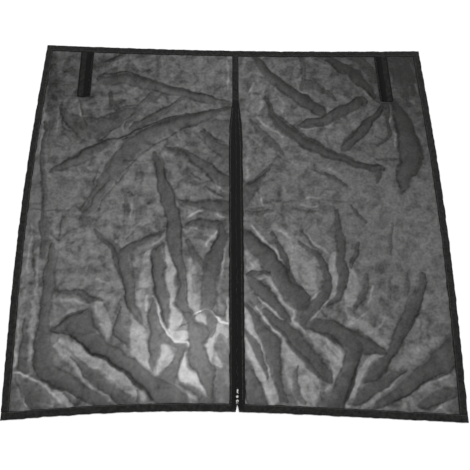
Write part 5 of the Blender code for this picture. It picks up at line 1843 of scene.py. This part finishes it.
@dataclass
class Stitching:
    """Sewing stitches on the tapes, each a small rounded grain of thread.

    Attributes:
        finish: the thread's material.
        pitch: distance between stitches in a straight row.
        length: length of a stitch.
        thread: half thickness of the thread.
        row: how far from the tape's inner edge a straight row runs.
        lift: how high a straight row's middle line lies over the tape.
    """

    finish: Material
    pitch: float = 0.0045
    length: float = 0.0032
    thread: float = 0.00032
    row: float = 0.0028
    lift: float = 0.00035

    def grains(self, middles: Array, headings: Array, lengths: Array) -> tuple[Array, Array]:
        """Grains of thread: a four-sided ring in the middle of each, and a point at either end.

        Args:
            middles: (n, 3) middle of each stitch.
            headings: (n, 2) direction of each stitch in plan, of length 1.
            lengths: length of each stitch.

        Returns:
            The points and faces of all of them.
        """
        along = np.concatenate([headings, np.zeros((len(headings), 1))], axis=1)
        across = np.stack([-headings[:, 1], headings[:, 0], np.zeros(len(headings))], axis=1)
        up = np.array([0.0, 0.0, 1.0])
        shares = np.array([-0.5, -0.32, 0.32, 0.5])
        ring = np.array([(1, -0.3), (0.5, 1), (-0.5, 1), (-1, -0.3)])
        size = np.array([0.35, 1.0, 1.0, 0.35])
        points = (
            middles[:, None, None]
            + (lengths[:, None] * shares)[:, :, None, None] * along[:, None, None]
            + self.thread * size[:, None, None] * (ring[:, :1] * across[:, None, None] + ring[:, 1:] * up)
        )
        quads = np.array(tube_faces(4, 4))
        faces = (quads + 16 * np.arange(len(middles))[:, None, None]).reshape(-1, 4)
        return points.reshape(-1, 3), faces

    def straight(self, tape: FoldedTape) -> tuple[Array, Array, Array]:
        """A row along a tape's inner edge.

        Args:
            tape: the tape.

        Returns:
            Middles, headings and lengths of its stitches.
        """
        length = tape.length()
        along = np.arange(self.pitch, length - self.pitch, self.pitch)
        s = along / length
        q = tape.width(s) - self.row + Wave(0.0003, 0.03, 7).over(along, along * 0)
        ahead = place_on(tape.edge, s + 0.001, q)
        x, y = place_on(tape.edge, s, q)
        heading = np.stack([ahead[0] - x, ahead[1] - y], axis=1)
        heading /= np.linalg.norm(heading, axis=1)[:, None]
        middles = np.stack([x, y, np.full_like(x, LAYERS.tape_top + self.lift)], axis=1)
        return middles, heading, np.full(len(x), self.length)

    def zigzag(self, side: Side) -> tuple[Array, Array, Array]:
        """The overlocking that joins net, tape and zip along the middle.

        Args:
            side: which side of the zip.

        Returns:
            Middles, headings and lengths of its stitches.
        """
        pitch, reach = 0.0040, 0.0040
        inset = 0.0047 if side is Side.LEFT else 0.0078
        over_hem, under_seam = 0.026, 0.025
        y = np.arange(float(PLAN.hem(0.0)) + over_hem, PLAN.seam_bottom - under_seam, pitch)
        sway = np.where(np.arange(len(y)) % 2 == 0, 1.0, -1.0)
        heading = np.stack([sway * reach, np.full(len(y), pitch * 0.5)], axis=1)
        lengths = np.linalg.norm(heading, axis=1)
        x = side.value * np.maximum(PLAN.band(y) - inset, PLAN.band_gap + 0.003)
        loose = np.clip(0.5 + 0.8 * ripple_noise(y, y * 0, 0.012, 8 + side.value), 0, 1)
        middles = np.stack([x, y, LAYERS.tape_top + 0.0004 + 0.0004 * loose], axis=1)
        return middles, heading / lengths[:, None], lengths * (0.35 + 0.65 * loose)

    def build(self, name: str, rows: list[tuple[Array, Array, Array]]) -> None:
        """Makes one piece from rows of stitches.

        Args:
            name: the piece's name.
            rows: middles, headings and lengths of each row's stitches.
        """
        middles, headings, lengths = (np.concatenate(parts) for parts in zip(*rows))
        points, faces = self.grains(middles, headings, lengths)
        add_piece(name, points, faces, self.finish)


@dataclass
class Zip:
    """The zip: its solids keep their form, and the metal gets rounded edges.

    Attributes:
        tape: material of the woven zip tape.
        acetal: material of the teeth and stops.
        round_over: radius on the metal's edges.
    """

    tape: Material
    acetal: Material
    round_over: float = 0.00025

    def dress(self, nodes: dict[str, Object]) -> None:
        """Puts the finishes on the solids that stay.

        Args:
            nodes: the solids by name.
        """
        for name, obj in nodes.items():
            if name.startswith("zip_tape"):
                self.paint(obj, self.tape)
            elif name.startswith(("zip_teeth", "zip_top", "zip_bottom")):
                self.paint(obj, self.acetal)

    @staticmethod
    def paint(obj: Object, finish: Material) -> None:
        """Gives all of an object's slots one material."""
        for place in obj.material_slots:
            place.material = finish

    def metal(self, name: str, body: str, node: Object, finish: Material) -> None:
        """Makes a copy of a metal solid, with its points merged and its edges rounded, that stands for it.

        Args:
            name: name of the new piece.
            body: the body that carries it.
            node: the solid.
            finish: the metal's material.
        """
        shape = bmesh.new()
        shape.from_mesh(node.data)
        bmesh.ops.remove_doubles(shape, verts=shape.verts, dist=1e-6)
        bmesh.ops.dissolve_limit(shape, angle_limit=math.radians(2), verts=shape.verts, edges=shape.edges)
        mesh = bpy.data.meshes.new(name)
        shape.to_mesh(mesh)
        shape.free()
        mesh.materials.clear()
        mesh.materials.append(finish)
        obj = bpy.data.objects.new(name, mesh)
        bpy.context.scene.collection.objects.link(obj)
        bevel = obj.modifiers.new("edges", "BEVEL")
        bevel.width = self.round_over
        bevel.segments = 2
        bevel.limit_method = "ANGLE"
        bevel.angle_limit = math.radians(35)
        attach(obj, body)
        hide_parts(node.name)
        log.info("%s stands for %s", name, node.name)

    def build(self, nodes: dict[str, Object]) -> None:
        """Dresses the zip.

        Args:
            nodes: the solids by name.
        """
        self.dress(nodes)
        # The bright spots of the slider and the pull are painted glints
        bridge = NickelFinish("nickel_slider_painted_glint", ((0.0112, -0.5482, 0.0026, 0.0055),))
        tongue = NickelFinish(
            "nickel_pull_painted_glints", ((0.0100, -0.5632, 0.0033, 0.0033), (0.0102, -0.5752, 0.0036, 0.0040))
        )
        self.metal("slider_nickel", "slider", nodes["zip_slider"], bridge.material())
        self.metal("pull_nickel", "pull", nodes["zip_pull"], tongue.material())


@dataclass
class Studio:
    """Floor, light and camera.

    Attributes:
        eye: the camera's place in the row frame.
        tilt: its turn up from looking straight down, in degrees.
        swing: its turn about the vertical, in degrees.
        lens: focal length in mm.
        sensor: width of the sensor in mm.
        sky: strength of the even light from all round.
        key: what the key light adds to a level white surface.
        key_tip: its angle from straight down, in degrees.
        key_turn: its turn about the vertical, in degrees.
        key_width: how wide it looks from the floor, in degrees.
        returned: share of the light that the floor returns to the screen.
    """

    eye: tuple[float, float, float] = (0.00304, -0.69707, 1.7021)
    tilt: float = 20.0
    swing: float = -0.2865
    lens: float = 44.69
    sensor: float = 36.0
    sky: float = 0.60
    key: float = 0.45
    key_tip: float = 38.0
    key_turn: float = 150.0
    key_width: float = 20.0
    returned: float = 0.75

    def floor(self) -> None:
        """Lays a plain floor, white to the eye and in reflections, that returns a little less light."""
        made = bpy.data.materials.new("white_painted_floor")
        made.use_nodes = True
        tree = made.node_tree
        tree.nodes.clear()
        path = add_node(tree, "ShaderNodeLightPath")
        seen = path.outputs["Is Camera Ray"]
        for other in ("Is Glossy Ray", "Is Transmission Ray"):
            seen = add_node(
                tree, "ShaderNodeMath", {"operation": "MAXIMUM"}, {0: seen, 1: path.outputs[other]}
            ).outputs[0]
        returned = (self.returned, self.returned, self.returned, 1)
        pale = add_node(tree, "ShaderNodeBsdfDiffuse", inputs={"Color": returned})
        white = add_node(tree, "ShaderNodeBsdfDiffuse", inputs={"Color": (1, 1, 1, 1)})
        shades = {0: seen, 1: pale.outputs[0], 2: white.outputs[0]}
        mix = add_node(tree, "ShaderNodeMixShader", inputs=shades)
        add_node(tree, "ShaderNodeOutputMaterial", inputs={"Surface": mix.outputs[0]})
        reach, below = 6.0, -0.0003
        mesh = bpy.data.meshes.new("floor")
        corners = ((-reach, -reach), (reach, -reach), (reach, reach), (-reach, reach))
        mesh.from_pydata([(x, y, below) for x, y in corners], [], [(0, 1, 2, 3)])
        mesh.materials.append(made)
        obj = bpy.data.objects.new("floor", mesh)
        bpy.context.scene.collection.objects.link(obj)

    def light(self) -> None:
        """Even light from the sky, and a soft key light from the upper left."""
        world = bpy.data.worlds.new("studio")
        bpy.context.scene.world = world
        world.use_nodes = True
        ground = world.node_tree.nodes["Background"]
        ground.inputs["Color"].default_value = (1, 1, 1, 1)
        ground.inputs["Strength"].default_value = self.sky
        tip = math.radians(self.key_tip)
        lamp = bpy.data.lights.new("key", "SUN")
        lamp.energy = self.key * math.pi / math.cos(tip)
        lamp.angle = math.radians(self.key_width)
        obj = bpy.data.objects.new("key", lamp)
        obj.rotation_euler = Euler((tip, 0, math.radians(self.key_turn)), "XYZ")
        bpy.context.scene.collection.objects.link(obj)

    def camera(self) -> None:
        """The camera, above the hem's side of the screen and looking down at it."""
        data = bpy.data.cameras.new("eye")
        data.lens = self.lens
        data.sensor_width = self.sensor
        obj = bpy.data.objects.new("eye", data)
        obj.location = self.eye
        obj.rotation_euler = Euler((math.radians(self.tilt), 0, math.radians(self.swing)), "XYZ")
        bpy.context.scene.collection.objects.link(obj)
        bpy.context.scene.camera = obj

    def build(self) -> None:
        """Sets up the stage and the view."""
        self.floor()
        self.light()
        self.camera()
        bpy.context.scene.view_settings.view_transform = "Standard"


def main() -> None:
    """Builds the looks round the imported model."""
    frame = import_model()
    Studio().build()

    binding = TapeFinish("black_binding_tape", "#0b0b0b", "#2c2c2b", 2.0, 0.25).material()
    zip_edge = TapeFinish("black_zip_binding_tape", "#0c0c0c", "#1f1f1e", 2.0, 0.25).material()
    webbing = TapeFinish(
        "hook_and_loop_webbing", "#060606", "#282826", 1.6, 0.3, blotch_mm=12.0, napped=True
    ).material()
    under = TapeFinish("loop_webbing", "#020202", "#0a0a0a", 1.6, 0.3, blotch_mm=5.0).material()
    zip_tape = TapeFinish("woven_zip_tape", "#0d0d0d", "#161615", 1.2, 0.15, turn=math.pi / 4).material()
    net = NetFinish().material()
    thread = ThreadFinish().material()

    NetPanel(Side.LEFT, LEFT_FOLDS + LEFT_GLEAMS, LEFT_CREASES, net).build()
    NetPanel(Side.RIGHT, RIGHT_FOLDS + RIGHT_GLEAMS, RIGHT_CREASES, net).build()
    tapes = [FoldedTape(edge, zip_edge if "ZIP" in edge.name else binding) for edge in Edge]
    for tape in tapes:
        tape.build()
    SeamTape(binding).build()
    for side in Side:
        Strap(side, True, webbing).build()
        Strap(side, False, under).build()
    stitching = Stitching(thread)
    border = [tape for tape in tapes if "ZIP" not in tape.edge.name]
    stitching.build("stitches_border", [stitching.straight(tape) for tape in border])
    stout = Stitching(thread, thread=0.0005)
    stout.build("stitches_zip", [stout.zigzag(side) for side in Side])
    Zip(zip_tape, AcetalFinish().material()).build(frame["nodes"])


if __name__ == "__main__":
    logging.basicConfig(level=logging.INFO, format="%(name)s: %(message)s")
    main()
